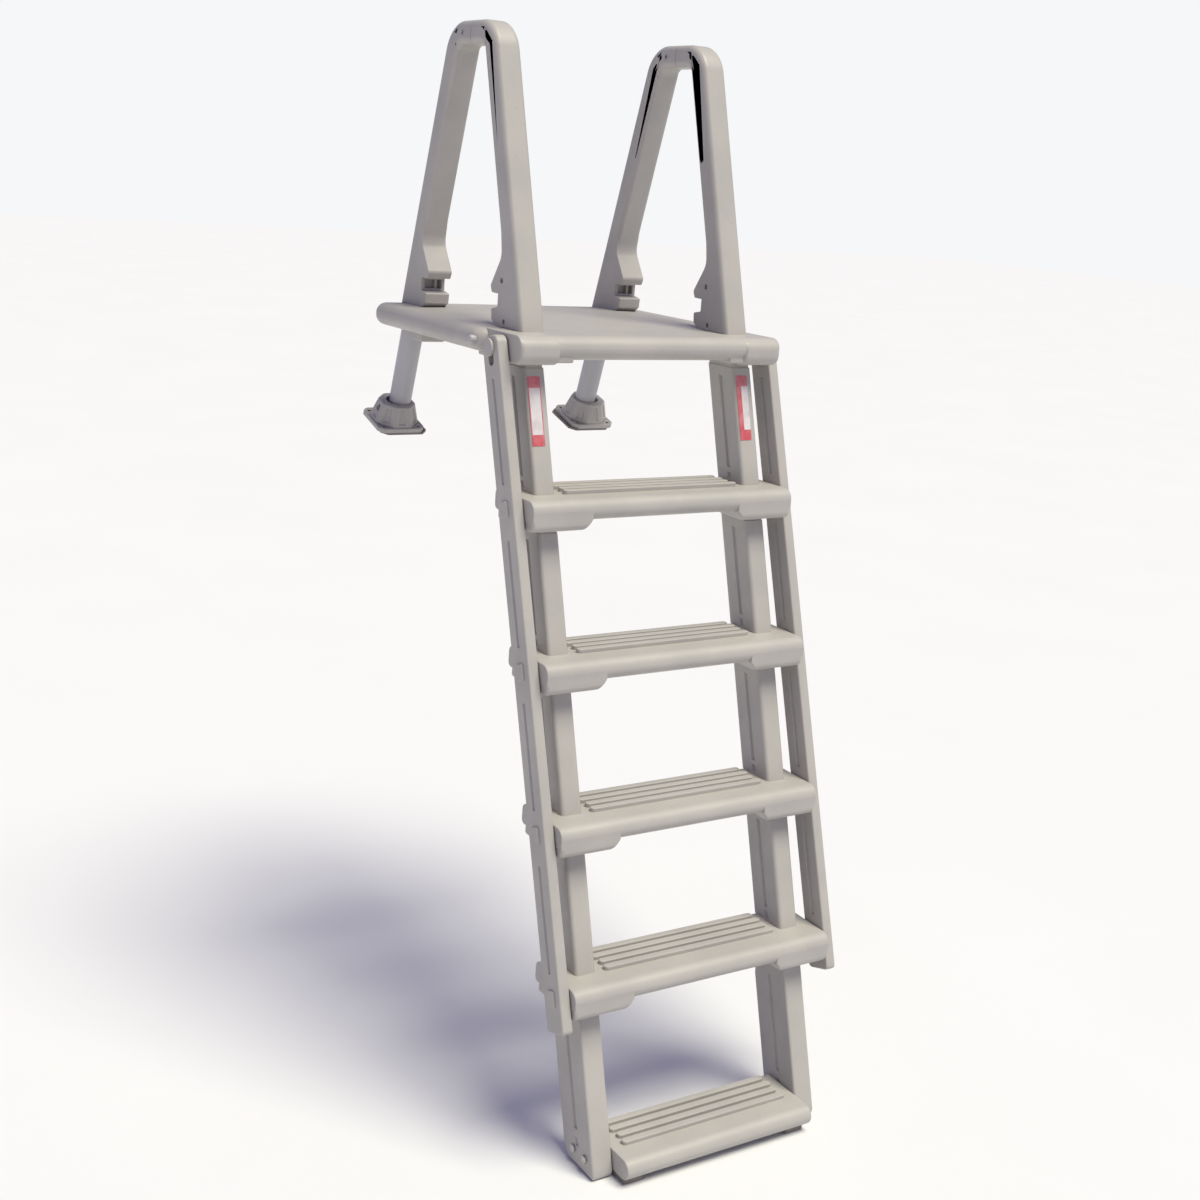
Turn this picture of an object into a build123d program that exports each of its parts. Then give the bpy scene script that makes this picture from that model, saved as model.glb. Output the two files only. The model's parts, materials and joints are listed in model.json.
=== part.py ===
from build123d import *
import math
import os

# Above-ground pool ladder: a deck platform with two A-frame handrails, a slanted
# flight of four treads and a bottom step, outer side rails and two deck posts.
# X runs across the ladder, Y from the pool side (front) to the deck side (back),
# Z up. The origin is on the pool floor, at the centre of the overall box.

# ---------------------------------------------------------------- driving dimensions
slant_deg = 17.0          # lean of uprights, handrail legs and deck posts
rail_slant_deg = 18.1     # the outer rails lean a little more
rise = 254.0              # tread to tread
bottom_rise = 282.0       # last tread to bottom step
tread_count = 4
pad_height = 12.0         # soles under the bottom step

upright_centre = 214.0    # X of each upright
upright_width = 40.0
upright_depth = 80.0      # along Y
leg_depth = 94.0          # lower legs are deeper than the uprights
upright_round = 7.0
side_groove = 11.0        # width of the groove in a side face
groove_cut = 3.5

tread_thickness = 36.0
tread_nose = 42.0         # how far a tread stands in front of the uprights
tread_depth = 132.0
tread_half_length = 265.0
end_block_drop = 16.0     # thicker ends under each tread
end_block_inner = 150.0   # X where the end block stops
end_block_slope = 12.0
end_block_setback = 0.6   # behind the tread's nose
end_block_rise = 17.0     # the block's front meets the nose this high
end_block_back = 10.0     # the block stops this far before the tread's back
end_block_round = 8.0
rib_count = 4
rib_pitch = 20.0
rib_width = 13.0
rib_height = 7.0
rib_round = 4.0
rib_first = 14.0          # first rib, behind the uprights' front face
rib_half_length = 178.0
step_half_length = 193.5

spigot_width = 32.0
spigot_depth = 66.0
spigot_length = 14.0
socket_gap = 0.25
collar_height = 8.0
collar_inset = 1.5

rail_inner = 266.0        # X of the outer rails' inner face
rail_outer = 286.0
rail_depth = 52.0
rail_front = 11.0         # rail's front face stands this far before the uprights at the top
rail_above = 19.0         # along the rail, above the platform stud
rail_below = 1127.0       # along the rail, below the platform stud
rail_skin = 6.0           # rail wall outside the blind slots
rail_top_round = 19.0
rail_bottom_round = 8.0
rail_edge_round = 3.0
rail_groove = 8.0         # width of the grooves in a rail's side faces
rail_groove_cut = 3.0
rail_lift = 22.0          # travel of a rail on its studs
stud_height = 14.0        # studs above the lower edge of tread or platform
stud_neck = 6.0           # radius of the tread studs
platform_neck = 8.0       # radius of the platform studs
platform_head = 15.0      # radius of the platform studs' heads
head_thickness = 5.0
boss_width = 20.0         # square pads on the rails over the tread studs
boss_length = 28.0
boss_height = 4.0
boss_round = 2.0
slot_gap = 0.4

platform_thickness = 40.0
platform_nose = 45.0
platform_back = 492.0
platform_half_width = 286.0
platform_front_half = 264.0
notch_end = 64.0          # platform is narrower in front of this Y, beside the rails

handrail_centre = 210.0
handrail_width = 48.0
handrail_depth = 42.0
handrail_height = 536.0   # above the platform's lower edge
handrail_bar = 39.0       # height of the top bar
handrail_middle = 245.0   # Y where the two halves meet
handrail_round = 12.0

post_radius = 21.0
post_gap = 0.4
post_wall = 3.1           # leg wall behind the post
post_top = 74.0           # along the post, above the platform's lower edge
post_out = 176.0          # along the post, below the platform's lower edge
bore_top = 128.0
post_wall_thickness = 3.5
cup_height = 38.0
cup_top_radius = 36.0
cup_bottom_radius = 48.0
plate_size = 96.0
plate_thickness = 8.0
foot_pad_thickness = 4.0
plate_cut = 12.0
plate_hole_radius = 3.5
plate_hole_circle = 51.0  # radius of the four screw holes

# ---------------------------------------------------------------- derived values
slant = math.radians(slant_deg)
rail_slant = math.radians(rail_slant_deg)
lean = math.tan(slant)
platform_z = tread_count * rise + bottom_rise + pad_height
post_line = 2 * handrail_middle - (post_wall + post_radius + post_gap) / math.cos(slant)
foot_s = post_out + cup_height * 0.5 + plate_thickness + foot_pad_thickness
foot_y = post_line + foot_s * math.sin(slant)
front_most = -(platform_z - pad_height) * lean - tread_nose
back_most = foot_y + plate_size / 2 * math.cos(slant)
y_shift = -(front_most + back_most) / 2
upright_half = upright_width / 2
stud_offset = (rail_depth / 2 - rail_front) / math.cos(slant)
step_bolt_z = pad_height + tread_thickness / 2
step_bolt_offsets = (22, 58)


def face_y(z):
    """Y of the uprights' front face at height z above the floor."""
    return (z - platform_z) * lean + y_shift


def at(y, z):
    """A side-view point given from the uprights' front face at platform level."""
    return (y + y_shift, z + platform_z)


def level_z(level):
    """Lower edge of tread 1 to 4, or of the platform at level 0."""
    return platform_z - level * rise


def stud_point(level):
    """Side-view centre of the stud at a tread or at the platform, on the rail's axis."""
    top = level_z(0) + stud_height
    z = level_z(level) + stud_height
    return face_y(top) + stud_offset + (z - top) * math.tan(rail_slant), z


def rail_point(along, across):
    """Side-view point of an outer rail: up along its axis from the platform stud, and back."""
    y, z = stud_point(0)
    return (
        y + along * math.sin(rail_slant) + across * math.cos(rail_slant),
        z + along * math.cos(rail_slant) - across * math.sin(rail_slant),
    )


def rail_level(level):
    """Distance along the rail's axis from the platform stud to a tread's stud."""
    return -level * rise / math.cos(rail_slant)


def side_hole(x_face, inward, point, radius, depth):
    """A round hole into a side face, at a side-view point."""
    with BuildSketch(Plane.YZ.offset(x_face)) as outline:
        with Locations(point):
            Circle(radius)
    extrude(outline.sketch, amount=inward * depth, mode=Mode.SUBTRACT)


def save(piece, name):
    piece.part.label = name
    export_step(piece.part, "parts/" + name + ".step")


def slanted_edges(piece):
    return piece.edges().filter_by(Axis((0, 0, 0), (0, math.sin(slant), math.cos(slant))))


def parallelogram(front, depth, low, high):
    """Side outline of a slanted bar between two heights above the floor."""
    Polyline(
        (face_y(low) + front, low),
        (face_y(high) + front, high),
        (face_y(high) + front + depth, high),
        (face_y(low) + front + depth, low),
        close=True,
    )


def groove(depth_in_y, low, high, x_face, inward, cut):
    """A shallow slot down the middle of a side face."""
    with BuildSketch(Plane.YZ.offset(x_face)) as outline:
        with BuildLine():
            parallelogram(upright_depth / 2 - depth_in_y / 2, depth_in_y, low, high)
        make_face()
    extrude(outline.sketch, amount=inward * cut, mode=Mode.SUBTRACT)


def upright(name, side, low, high, low_spigot, high_spigot):
    """A segment of upright between two levels, with spigots into its neighbours."""
    x_low = side * upright_centre - upright_half
    with BuildPart() as segment:
        with BuildSketch(Plane.YZ.offset(x_low)):
            with BuildLine():
                parallelogram(0, upright_depth, low, high - collar_height)
            make_face()
        extrude(amount=upright_width)
        fillet(slanted_edges(segment), upright_round)
        with BuildSketch(Plane.YZ.offset(x_low + collar_inset)) as neck:
            with BuildLine():
                parallelogram(collar_inset, upright_depth - 2 * collar_inset,
                              high - collar_height - 1, high)
            make_face()
        extrude(neck.sketch, amount=upright_width - 2 * collar_inset)
        for x_face, inward in ((x_low, 1), (x_low + upright_width, -1)):
            groove(side_groove, low + 24, high - collar_height - 14, x_face, inward, groove_cut)
        spans = []
        if low_spigot:
            spans.append((low - spigot_length, low))
        if high_spigot:
            spans.append((high, high + spigot_length))
        for start, stop in spans:
            with BuildSketch(Plane.YZ.offset(side * upright_centre - spigot_width / 2)):
                with BuildLine():
                    parallelogram((upright_depth - spigot_depth) / 2, spigot_depth, start, stop)
                make_face()
            extrude(amount=spigot_width)
    save(segment, name)


def socket(side, low, high):
    """Slanted through socket for the uprights' spigots."""
    x_low = side * upright_centre - spigot_width / 2 - socket_gap
    inset = (upright_depth - spigot_depth) / 2 - socket_gap
    with BuildSketch(Plane.YZ.offset(x_low)) as outline:
        with BuildLine():
            parallelogram(inset, spigot_depth + 2 * socket_gap, low, high)
        make_face()
    extrude(outline.sketch, amount=spigot_width + 2 * socket_gap, mode=Mode.SUBTRACT)


def tread_body(z, half_length):
    """Bullnosed board with ribs on its top, at lower-edge height z."""
    nose = face_y(z) - tread_nose
    back = nose + tread_depth
    middle = z + tread_thickness / 2
    radius = tread_thickness / 2
    with BuildSketch(Plane.YZ.offset(-half_length)) as outline:
        with BuildLine():
            Polyline((nose + radius, z + tread_thickness), (back, z + tread_thickness), (back, z),
                     (nose + radius, z))
            ThreePointArc((nose + radius, z), (nose, middle), (nose + radius, z + tread_thickness))
        make_face()
    extrude(outline.sketch, amount=2 * half_length)


def tread_ribs(z, half_length):
    top = z + tread_thickness
    first = face_y(z) + rib_first
    with BuildSketch(Plane.XY.offset(top)) as outline:
        for number in range(rib_count):
            with Locations((0, first + number * rib_pitch)):
                SlotOverall(2 * (half_length - 3 * number % 2), rib_width)
    extrude(outline.sketch, amount=rib_height)


os.makedirs("parts", exist_ok=True)
sides = (("left", -1), ("right", 1))

# ---------------------------------------------------------------- treads
for level in range(1, tread_count + 1):
    z = level_z(level)
    with BuildPart() as tread:
        tread_body(z, tread_half_length)
        back_edges = tread.edges().filter_by(Axis.X).group_by(Axis.Y)[-1]
        fillet(back_edges, 9)
        end_edges = tread.faces().filter_by(Axis.X).edges()
        fillet(end_edges, 4)
        tread_ribs(z, rib_half_length)
        rib_tops = tread.faces().group_by(Axis.Z)[-1].edges()
        fillet(rib_tops, rib_round)
        for side_name, side in sides:
            inner = side * end_block_inner
            outer = side * (tread_half_length - 3)
            with BuildSketch(Plane.XZ.offset(-(face_y(z) - tread_nose + end_block_setback))):
                with BuildLine():
                    Polyline(
                        (inner, z + end_block_rise),
                        (inner, z),
                        (inner + side * end_block_slope, z - end_block_drop),
                        (outer, z - end_block_drop),
                        (outer, z + end_block_rise),
                        close=True,
                    )
                make_face()
            extrude(amount=-(tread_depth - end_block_back))
        block_edges = tread.faces().group_by(Axis.Z)[0].edges()
        fillet(block_edges, end_block_round)
        for side_name, side in sides:
            socket(side, z - end_block_drop - 1, z + tread_thickness + 1)
            side_hole(side * tread_half_length, -side, stud_point(level), 4, 15)
    save(tread, "tread_" + str(level))

# ---------------------------------------------------------------- bottom step
step_z = pad_height
with BuildPart() as bottom_step:
    tread_body(step_z, step_half_length)
    fillet(bottom_step.edges().filter_by(Axis.X).group_by(Axis.Y)[-1], 9)
    fillet(bottom_step.faces().filter_by(Axis.X).edges(), 4)
    tread_ribs(step_z, step_half_length - 22)
    fillet(bottom_step.faces().group_by(Axis.Z)[-1].edges(), rib_round)
    for side_name, side in sides:
        for offset_y in step_bolt_offsets:
            spot = (face_y(step_bolt_z) + offset_y, step_bolt_z)
            side_hole(side * step_half_length, -side, spot, 4, 25)
save(bottom_step, "bottom_step")

for side_name, side in sides:
    with BuildPart() as pad:
        with BuildSketch(Plane.XY):
            with Locations((side * (step_half_length - 24), face_y(step_z) + tread_depth / 2 - tread_nose)):
                RectangleRounded(40, tread_depth - 30, 6)
        extrude(amount=pad_height)
        chamfer(pad.faces().sort_by(Axis.Z)[0].edges(), 1.5)
    save(pad, "step_pad_" + side_name)

# ---------------------------------------------------------------- uprights
for side_name, side in sides:
    for number in range(1, tread_count + 1):
        low = level_z(number) + tread_thickness
        high = level_z(number - 1) - (end_block_drop if number > 1 else 8)
        upright("upright_" + str(number) + "_" + side_name, side, low, high, True, True)

# ---------------------------------------------------------------- lower legs
leg_bottom = 4.0
leg_top = level_z(tread_count) - end_block_drop
leg_neck = leg_top - collar_height
leg_taper = leg_top - 60  # the leg is at its full depth below this height
for side_name, side in sides:
    x_low = side * upright_centre - upright_half
    with BuildPart() as lower_leg:
        with BuildSketch(Plane.YZ.offset(x_low)) as outline:
            with BuildLine():
                Polyline(
                    (face_y(leg_bottom) + 3, leg_bottom),
                    (face_y(leg_neck), leg_neck),
                    (face_y(leg_neck) + upright_depth, leg_neck),
                    (face_y(leg_taper) + leg_depth, leg_taper),
                    (face_y(leg_bottom) + leg_depth, leg_bottom),
                    close=True,
                )
            make_face()
            fillet(outline.vertices().group_by(Axis.Y)[0], 14)
        extrude(amount=upright_width)
        fillet(slanted_edges(lower_leg), upright_round)
        with BuildSketch(Plane.YZ.offset(x_low + collar_inset)):
            with BuildLine():
                parallelogram(collar_inset, upright_depth - 2 * collar_inset, leg_neck - 1, leg_top)
            make_face()
        extrude(amount=upright_width - 2 * collar_inset)
        for x_face, inward in ((x_low, 1), (x_low + upright_width, -1)):
            groove(side_groove, leg_bottom + 62, leg_top - 50, x_face, inward, groove_cut)
        with BuildSketch(Plane.YZ.offset(side * upright_centre - spigot_width / 2)):
            with BuildLine():
                parallelogram((upright_depth - spigot_depth) / 2, spigot_depth, leg_top,
                              leg_top + spigot_length)
            make_face()
        extrude(amount=spigot_width)
        for offset_y in step_bolt_offsets:
            spot = (face_y(step_bolt_z) + offset_y, step_bolt_z)
            side_hole(x_low, 1, spot, 4, upright_width)
    save(lower_leg, "lower_leg_" + side_name)

# ---------------------------------------------------------------- platform
def post_plane(side, s):
    """Plane square to a deck post, s along its axis from the platform's lower edge."""
    return Plane(
        origin=(
            side * handrail_centre,
            post_line - s * math.sin(slant) + y_shift,
            platform_z + s * math.cos(slant),
        ),
        x_dir=(1, 0, 0),
        z_dir=(0, -math.sin(slant), math.cos(slant)),
    )


tenon_front = 386.0       # rear handrail tenon, from the uprights' front face
tenon_depth = 32.0
tenon_length = 30.0
knob_y = 84.0
knob_z = 12.0
knob_radius = 7.0

with BuildPart() as platform:
    with BuildSketch(Plane.XY.offset(platform_z)):
        with Locations((0, (notch_end + platform_back) / 2 + y_shift)):
            RectangleRounded(2 * platform_half_width, platform_back - notch_end, 30)
    extrude(amount=platform_thickness)
    fillet(platform.faces().filter_by(Axis.Z).edges(), 18)
    nose = y_shift - platform_nose
    radius = platform_thickness / 2
    with BuildSketch(Plane.YZ.offset(-platform_front_half)):
        with BuildLine():
            Polyline(
                (nose + radius, platform_z + platform_thickness),
                (nose + 160, platform_z + platform_thickness),
                (nose + 160, platform_z),
                (nose + radius, platform_z),
            )
            ThreePointArc(
                (nose + radius, platform_z),
                (nose, platform_z + radius),
                (nose + radius, platform_z + platform_thickness),
            )
        make_face()
    extrude(amount=2 * platform_front_half)
    for side_name, side in sides:
        with BuildSketch(Plane.YZ.offset(side * 189 if side > 0 else -platform_front_half)):
            with BuildLine():
                Polyline(
                    (nose + 22, platform_z + 36),
                    (nose + 150, platform_z + 36),
                    (nose + 150, platform_z - 8),
                    (nose + 22, platform_z - 8),
                )
                ThreePointArc(
                    (nose + 22, platform_z - 8),
                    (nose - 3, platform_z + 14),
                    (nose + 22, platform_z + 36),
                )
            make_face()
        extrude(amount=platform_front_half - 189)
        with BuildSketch(Plane.XY.offset(platform_z - 22)):
            with Locations((side * handrail_centre, y_shift + tenon_front + tenon_depth / 2)):
                RectangleRounded(handrail_width, tenon_depth + 14, 4)
        extrude(amount=24)
        socket(side, platform_z - 9, platform_z + platform_thickness + 1)
        with BuildSketch(Plane.XY.offset(platform_z - 10)):
            with Locations((side * handrail_centre, y_shift + tenon_front + tenon_depth / 2)):
                Rectangle(spigot_width + 2 * socket_gap, tenon_depth + 2 * socket_gap)
        extrude(amount=platform_thickness + 20, mode=Mode.SUBTRACT)
        with BuildSketch(post_plane(side, -40)):
            Circle(post_radius + post_gap)
        extrude(amount=120, mode=Mode.SUBTRACT)
        stud_y, stud_z = stud_point(0)
        with BuildSketch(Plane.YZ.offset(side * platform_front_half)):
            with Locations((stud_y, stud_z)):
                Circle(5)
        extrude(amount=-side * 22, mode=Mode.SUBTRACT)
        with BuildSketch(Plane.YZ.offset(side * (platform_half_width + 1))):
            with Locations(at(knob_y, knob_z + 8)):
                Circle(knob_radius + 0.4)
        extrude(amount=-side * 22, mode=Mode.SUBTRACT)
save(platform, "platform")

# ---------------------------------------------------------------- handrails
tongue_length = 44.0
tongue_width = 30.0
tongue_height = 21.0
screw_y = 275.0
screw_z = handrail_height - handrail_bar / 2
screw_radius = 2.5
screw_head = 5.0
pocket_width = 34.0       # blind pocket in the wall of each notch
pocket_height = 16.0
pocket_depth = 12.0
eyelets = ((88, 117), (74, 50))  # blind holes in the front legs' side faces
eyelet_radius = 5.0
eyelet_depth = 6.0


def handrail_half(name, side, rear):
    """One half of an A-frame: a leg with its hook and notch, and half of the top bar."""

    def place(y, z):
        return at(2 * handrail_middle - y if rear else y, z)

    inner = handrail_depth / math.cos(slant)
    bar_low = handrail_height - handrail_bar
    base = platform_thickness
    x_low = side * handrail_centre - handrail_width / 2
    with BuildPart() as half:
        with BuildSketch(Plane.YZ.offset(x_low)) as outline:
            with BuildLine():
                Polyline(
                    place(base * lean, base),
                    place(handrail_height * lean, handrail_height),
                    place(handrail_middle, handrail_height),
                    place(handrail_middle, bar_low),
                    place(bar_low * lean + inner, bar_low),
                    place(158 * lean + inner, 158),
                    place(127, 104),
                    place(122, 94),
                    place(99, 94),
                    place(99, 72),
                    place(120, 68),
                    place(118, 50),
                    place(104, base),
                    close=True,
                )
            make_face()
            corner = place(handrail_height * lean, handrail_height)
            fillet(outline.vertices().sort_by_distance((*corner, 0))[0], 60)
            corner = place(bar_low * lean + inner, bar_low)
            fillet(outline.vertices().sort_by_distance((*corner, 0))[0], 24)
            corner = place(127, 104)
            fillet(outline.vertices().sort_by_distance((*corner, 0))[0], 5)
        extrude(amount=handrail_width)
        side_edges = half.faces().filter_by(Axis.X).edges().filter_by(Axis.Z, reverse=True)
        upper = side_edges.filter_by(lambda edge: edge.center().Z > platform_z + 165)
        fillet(upper, handrail_round)
        if rear:
            with BuildSketch(Plane.XY.offset(platform_z + base)):
                with Locations((side * handrail_centre, y_shift + tenon_front + tenon_depth / 2)):
                    Rectangle(spigot_width, tenon_depth)
            extrude(amount=-tenon_length)
        else:
            with BuildSketch(Plane.YZ.offset(side * upright_centre - spigot_width / 2)):
                with BuildLine():
                    parallelogram((upright_depth - spigot_depth) / 2, spigot_depth,
                                  platform_z + base - 16, platform_z + base)
                make_face()
            extrude(amount=spigot_width)
        with BuildSketch(Plane.XZ.offset(-place(99, 0)[0])):
            with Locations((side * handrail_centre, platform_z + 83)):
                Rectangle(pocket_width, pocket_height)
        extrude(amount=-pocket_depth if rear else pocket_depth, mode=Mode.SUBTRACT)
        if not rear:
            for x_face, inward in ((x_low, 1), (x_low + handrail_width, -1)):
                for spot in eyelets:
                    side_hole(x_face, inward, at(*spot), eyelet_radius, eyelet_depth)
        bar_middle = platform_z + handrail_height - handrail_bar / 2
        with BuildSketch(Plane.XZ.offset(-(handrail_middle + y_shift))):
            with Locations((side * handrail_centre, bar_middle)):
                if rear:
                    Rectangle(tongue_width + 2 * socket_gap, tongue_height + 2 * socket_gap)
                else:
                    Rectangle(tongue_width, tongue_height)
        if rear:
            extrude(amount=-(tongue_length + 1), mode=Mode.SUBTRACT)
        else:
            extrude(amount=-tongue_length)
        with BuildSketch(Plane.YZ.offset(x_low - 1)):
            with Locations(at(screw_y, screw_z)):
                Circle(screw_radius)
        extrude(amount=handrail_width + 2, mode=Mode.SUBTRACT)
        if rear:
            for x_face, inward in ((x_low, 1), (x_low + handrail_width, -1)):
                with BuildSketch(Plane.YZ.offset(x_face)):
                    with Locations(at(screw_y, screw_z)):
                        Circle(screw_head)
                extrude(amount=inward * 4, mode=Mode.SUBTRACT)
            with BuildSketch(post_plane(side, 0)):
                Circle(post_radius + post_gap)
            extrude(amount=bore_top, mode=Mode.SUBTRACT)
    save(half, name)


for side_name, side in sides:
    handrail_half("handrail_front_" + side_name, side, False)
    handrail_half("handrail_rear_" + side_name, side, True)
    x_low = side * handrail_centre - handrail_width / 2
    with BuildPart() as handrail_screw:
        with BuildSketch(Plane.YZ.offset(x_low + 4)):
            with Locations(at(screw_y, screw_z)):
                Circle(screw_radius - 0.1)
        extrude(amount=handrail_width - 8)
        for x_face, inward in ((x_low + 1, 1), (x_low + handrail_width - 1, -1)):
            with BuildSketch(Plane.YZ.offset(x_face)):
                with Locations(at(screw_y, screw_z)):
                    Circle(screw_head - 0.3)
            extrude(amount=inward * 3)
            with BuildSketch(Plane.YZ.offset(x_face)):
                with Locations(at(screw_y, screw_z)):
                    RegularPolygon(2, 6)
            extrude(amount=inward * 1.8, mode=Mode.SUBTRACT)
    save(handrail_screw, "handrail_screw_" + side_name)

# ---------------------------------------------------------------- outer rails
rail_thickness = rail_outer - rail_inner
rail_half = rail_depth / 2
rail_turn = 90 - rail_slant_deg

for side_name, side in sides:
    x_low = min(side * rail_inner, side * rail_outer)
    with BuildPart() as outer_rail:
        with BuildSketch(Plane.YZ.offset(x_low)) as outline:
            with BuildLine():
                Polyline(
                    rail_point(-rail_below, -rail_half),
                    rail_point(rail_above, -rail_half),
                    rail_point(rail_above, rail_half),
                    rail_point(-rail_below, rail_half),
                    close=True,
                )
            make_face()
            fillet(outline.vertices().sort_by(Axis.Y)[-2:], rail_top_round)
            fillet(outline.vertices().sort_by(Axis.Y)[:2], rail_bottom_round)
        extrude(amount=rail_thickness)
        fillet(outer_rail.faces().filter_by(Axis.X).edges(), rail_edge_round)
        for level in range(1, tread_count + 1):
            with BuildSketch(Plane.YZ.offset(side * (rail_outer - 1))):
                with Locations(stud_point(level)):
                    Rectangle(boss_length, boss_width, rotation=rail_turn)
            extrude(amount=side * (boss_height + 1))
            boss_middle = (side * (rail_outer + boss_height), *stud_point(level))
            boss = outer_rail.faces().sort_by_distance(boss_middle)[0]
            fillet(boss.edges(), boss_round)
        for level in range(tread_count + 1):
            neck = platform_neck if level == 0 else stud_neck
            depth = rail_thickness if level == 0 else rail_thickness - rail_skin
            stud_y, stud_z = stud_point(level)
            centre = (
                stud_y - rail_lift / 2 * math.sin(rail_slant),
                stud_z - rail_lift / 2 * math.cos(rail_slant),
            )
            with BuildSketch(Plane.YZ.offset(side * rail_inner)):
                with Locations(centre):
                    SlotCenterToCenter(rail_lift, 2 * (neck + slot_gap), rotation=rail_turn)
            extrude(amount=side * depth, mode=Mode.SUBTRACT)
        for level in range(1, tread_count + 1):
            start = rail_level(level) + 40
            stop = rail_level(level - 1) - 50
            for x_face, inward in ((x_low, 1), (x_low + rail_thickness, -1)):
                with BuildSketch(Plane.YZ.offset(x_face)):
                    with Locations(rail_point((start + stop) / 2, 0)):
                        SlotOverall(stop - start, rail_groove, rotation=rail_turn)
                extrude(amount=inward * rail_groove_cut, mode=Mode.SUBTRACT)
    save(outer_rail, "outer_rail_" + side_name)

# ---------------------------------------------------------------- studs
head_start = rail_outer + 0.5
for side_name, side in sides:
    for level in range(tread_count + 1):
        neck = platform_neck if level == 0 else stud_neck
        base = platform_front_half if level == 0 else tread_half_length
        tip = head_start + 1 if level == 0 else rail_outer - rail_skin - 1
        with BuildPart() as stud:
            with BuildSketch(Plane.YZ.offset(side * (base - 14))):
                with Locations(stud_point(level)):
                    Circle(3.9)
            extrude(amount=side * 15)
            with BuildSketch(Plane.YZ.offset(side * base)):
                with Locations(stud_point(level)):
                    Circle(neck)
            extrude(amount=side * (tip - base))
            if level == 0:
                with BuildSketch(Plane.YZ.offset(side * head_start)):
                    with Locations(stud_point(level)):
                        Circle(platform_head)
                extrude(amount=side * head_thickness)
            top = stud.faces().sort_by(Axis.X)[-1 if side > 0 else 0]
            fillet(top.edges(), 1.5)
        save(stud, ("platform_stud_" if level == 0 else "tread_stud_" + str(level) + "_") + side_name)

# ---------------------------------------------------------------- lock knobs on the platform
for side_name, side in sides:
    with BuildPart() as knob:
        with BuildSketch(Plane.YZ.offset(side * (platform_half_width - 12))):
            with Locations(at(knob_y, knob_z + 8)):
                Circle(knob_radius)
        extrude(amount=side * 18)
        tip = knob.faces().sort_by(Axis.X)[-1 if side > 0 else 0]
        fillet(tip.edges(), 4)
    save(knob, "lock_knob_" + side_name)

# ---------------------------------------------------------------- deck posts and feet
for side_name, side in sides:
    with BuildPart() as deck_post:
        with BuildSketch(post_plane(side, -post_out)):
            Circle(post_radius)
            Circle(post_radius - post_wall_thickness, mode=Mode.SUBTRACT)
        extrude(amount=post_out + post_top)
        with BuildSketch(Plane.YZ.offset(side * handrail_centre)):
            with Locations((post_line + post_out * math.sin(slant) + y_shift,
                            platform_z - (post_out - 4) * math.cos(slant))):
                Circle(2.5)
        extrude(amount=side * 40, mode=Mode.SUBTRACT)
    save(deck_post, "deck_post_" + side_name)

    cup_low = -(post_out + cup_height / 2)
    cup_high = -(post_out - cup_height / 2)
    with BuildPart() as foot:
        with BuildSketch(post_plane(side, cup_low)):
            RegularPolygon(cup_bottom_radius, 8, rotation=22.5)
        with BuildSketch(post_plane(side, cup_high)):
            RegularPolygon(cup_top_radius, 8, rotation=22.5)
        loft()
        with BuildSketch(post_plane(side, cup_low - plate_thickness)) as plate:
            Rectangle(plate_size, plate_size)
            chamfer(plate.vertices(), plate_cut)
        extrude(amount=plate_thickness)
        with BuildSketch(post_plane(side, -post_out)):
            Circle(post_radius + 0.1)
        extrude(amount=cup_height, mode=Mode.SUBTRACT)
        with BuildSketch(post_plane(side, cup_low - plate_thickness)):
            with PolarLocations(plate_hole_circle, 4, start_angle=45):
                Circle(plate_hole_radius)
        extrude(amount=plate_thickness + 12, mode=Mode.SUBTRACT)
        with BuildSketch(Plane.YZ.offset(side * handrail_centre)):
            with Locations((post_line + post_out * math.sin(slant) + y_shift,
                            platform_z - (post_out - 4) * math.cos(slant))):
                Circle(2.5)
        extrude(amount=side * 50, mode=Mode.SUBTRACT)
        with BuildSketch(Plane.YZ.offset(side * (handrail_centre + 35))):
            with Locations((post_line + post_out * math.sin(slant) + y_shift,
                            platform_z - (post_out - 4) * math.cos(slant))):
                Circle(6)
        extrude(amount=side * 20, mode=Mode.SUBTRACT)
    save(foot, "deck_foot_" + side_name)

    with BuildPart() as foot_pad:
        with BuildSketch(post_plane(side, cup_low - plate_thickness - foot_pad_thickness)) as sole:
            Rectangle(plate_size, plate_size)
            chamfer(sole.vertices(), plate_cut)
            with PolarLocations(plate_hole_circle, 4, start_angle=45):
                Circle(plate_hole_radius, mode=Mode.SUBTRACT)
        extrude(amount=foot_pad_thickness)
    save(foot_pad, "foot_pad_" + side_name)

    with BuildPart() as foot_screw:
        with BuildSketch(Plane.YZ.offset(side * (handrail_centre + 15))):
            with Locations((post_line + post_out * math.sin(slant) + y_shift,
                            platform_z - (post_out - 4) * math.cos(slant))):
                Circle(2.4)
        extrude(amount=side * 21)
        with BuildSketch(Plane.YZ.offset(side * (handrail_centre + 35.2))):
            with Locations((post_line + post_out * math.sin(slant) + y_shift,
                            platform_z - (post_out - 4) * math.cos(slant))):
                Circle(5)
        extrude(amount=side * 3.5)
    save(foot_screw, "foot_screw_" + side_name)

# ---------------------------------------------------------------- step bolts
for side_name, side in sides:
    with BuildPart() as step_bolts:
        for offset_y in step_bolt_offsets:
            spot = (face_y(step_bolt_z) + offset_y, step_bolt_z)
            with BuildSketch(Plane.YZ.offset(side * (step_half_length - 24))):
                with Locations(spot):
                    Circle(3.9)
            extrude(amount=side * 66)
            with BuildSketch(Plane.YZ.offset(side * (upright_centre + upright_half))):
                with Locations(spot):
                    RegularPolygon(7, 6)
            extrude(amount=side * 4)
    save(step_bolts, "step_bolts_" + side_name)

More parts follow.
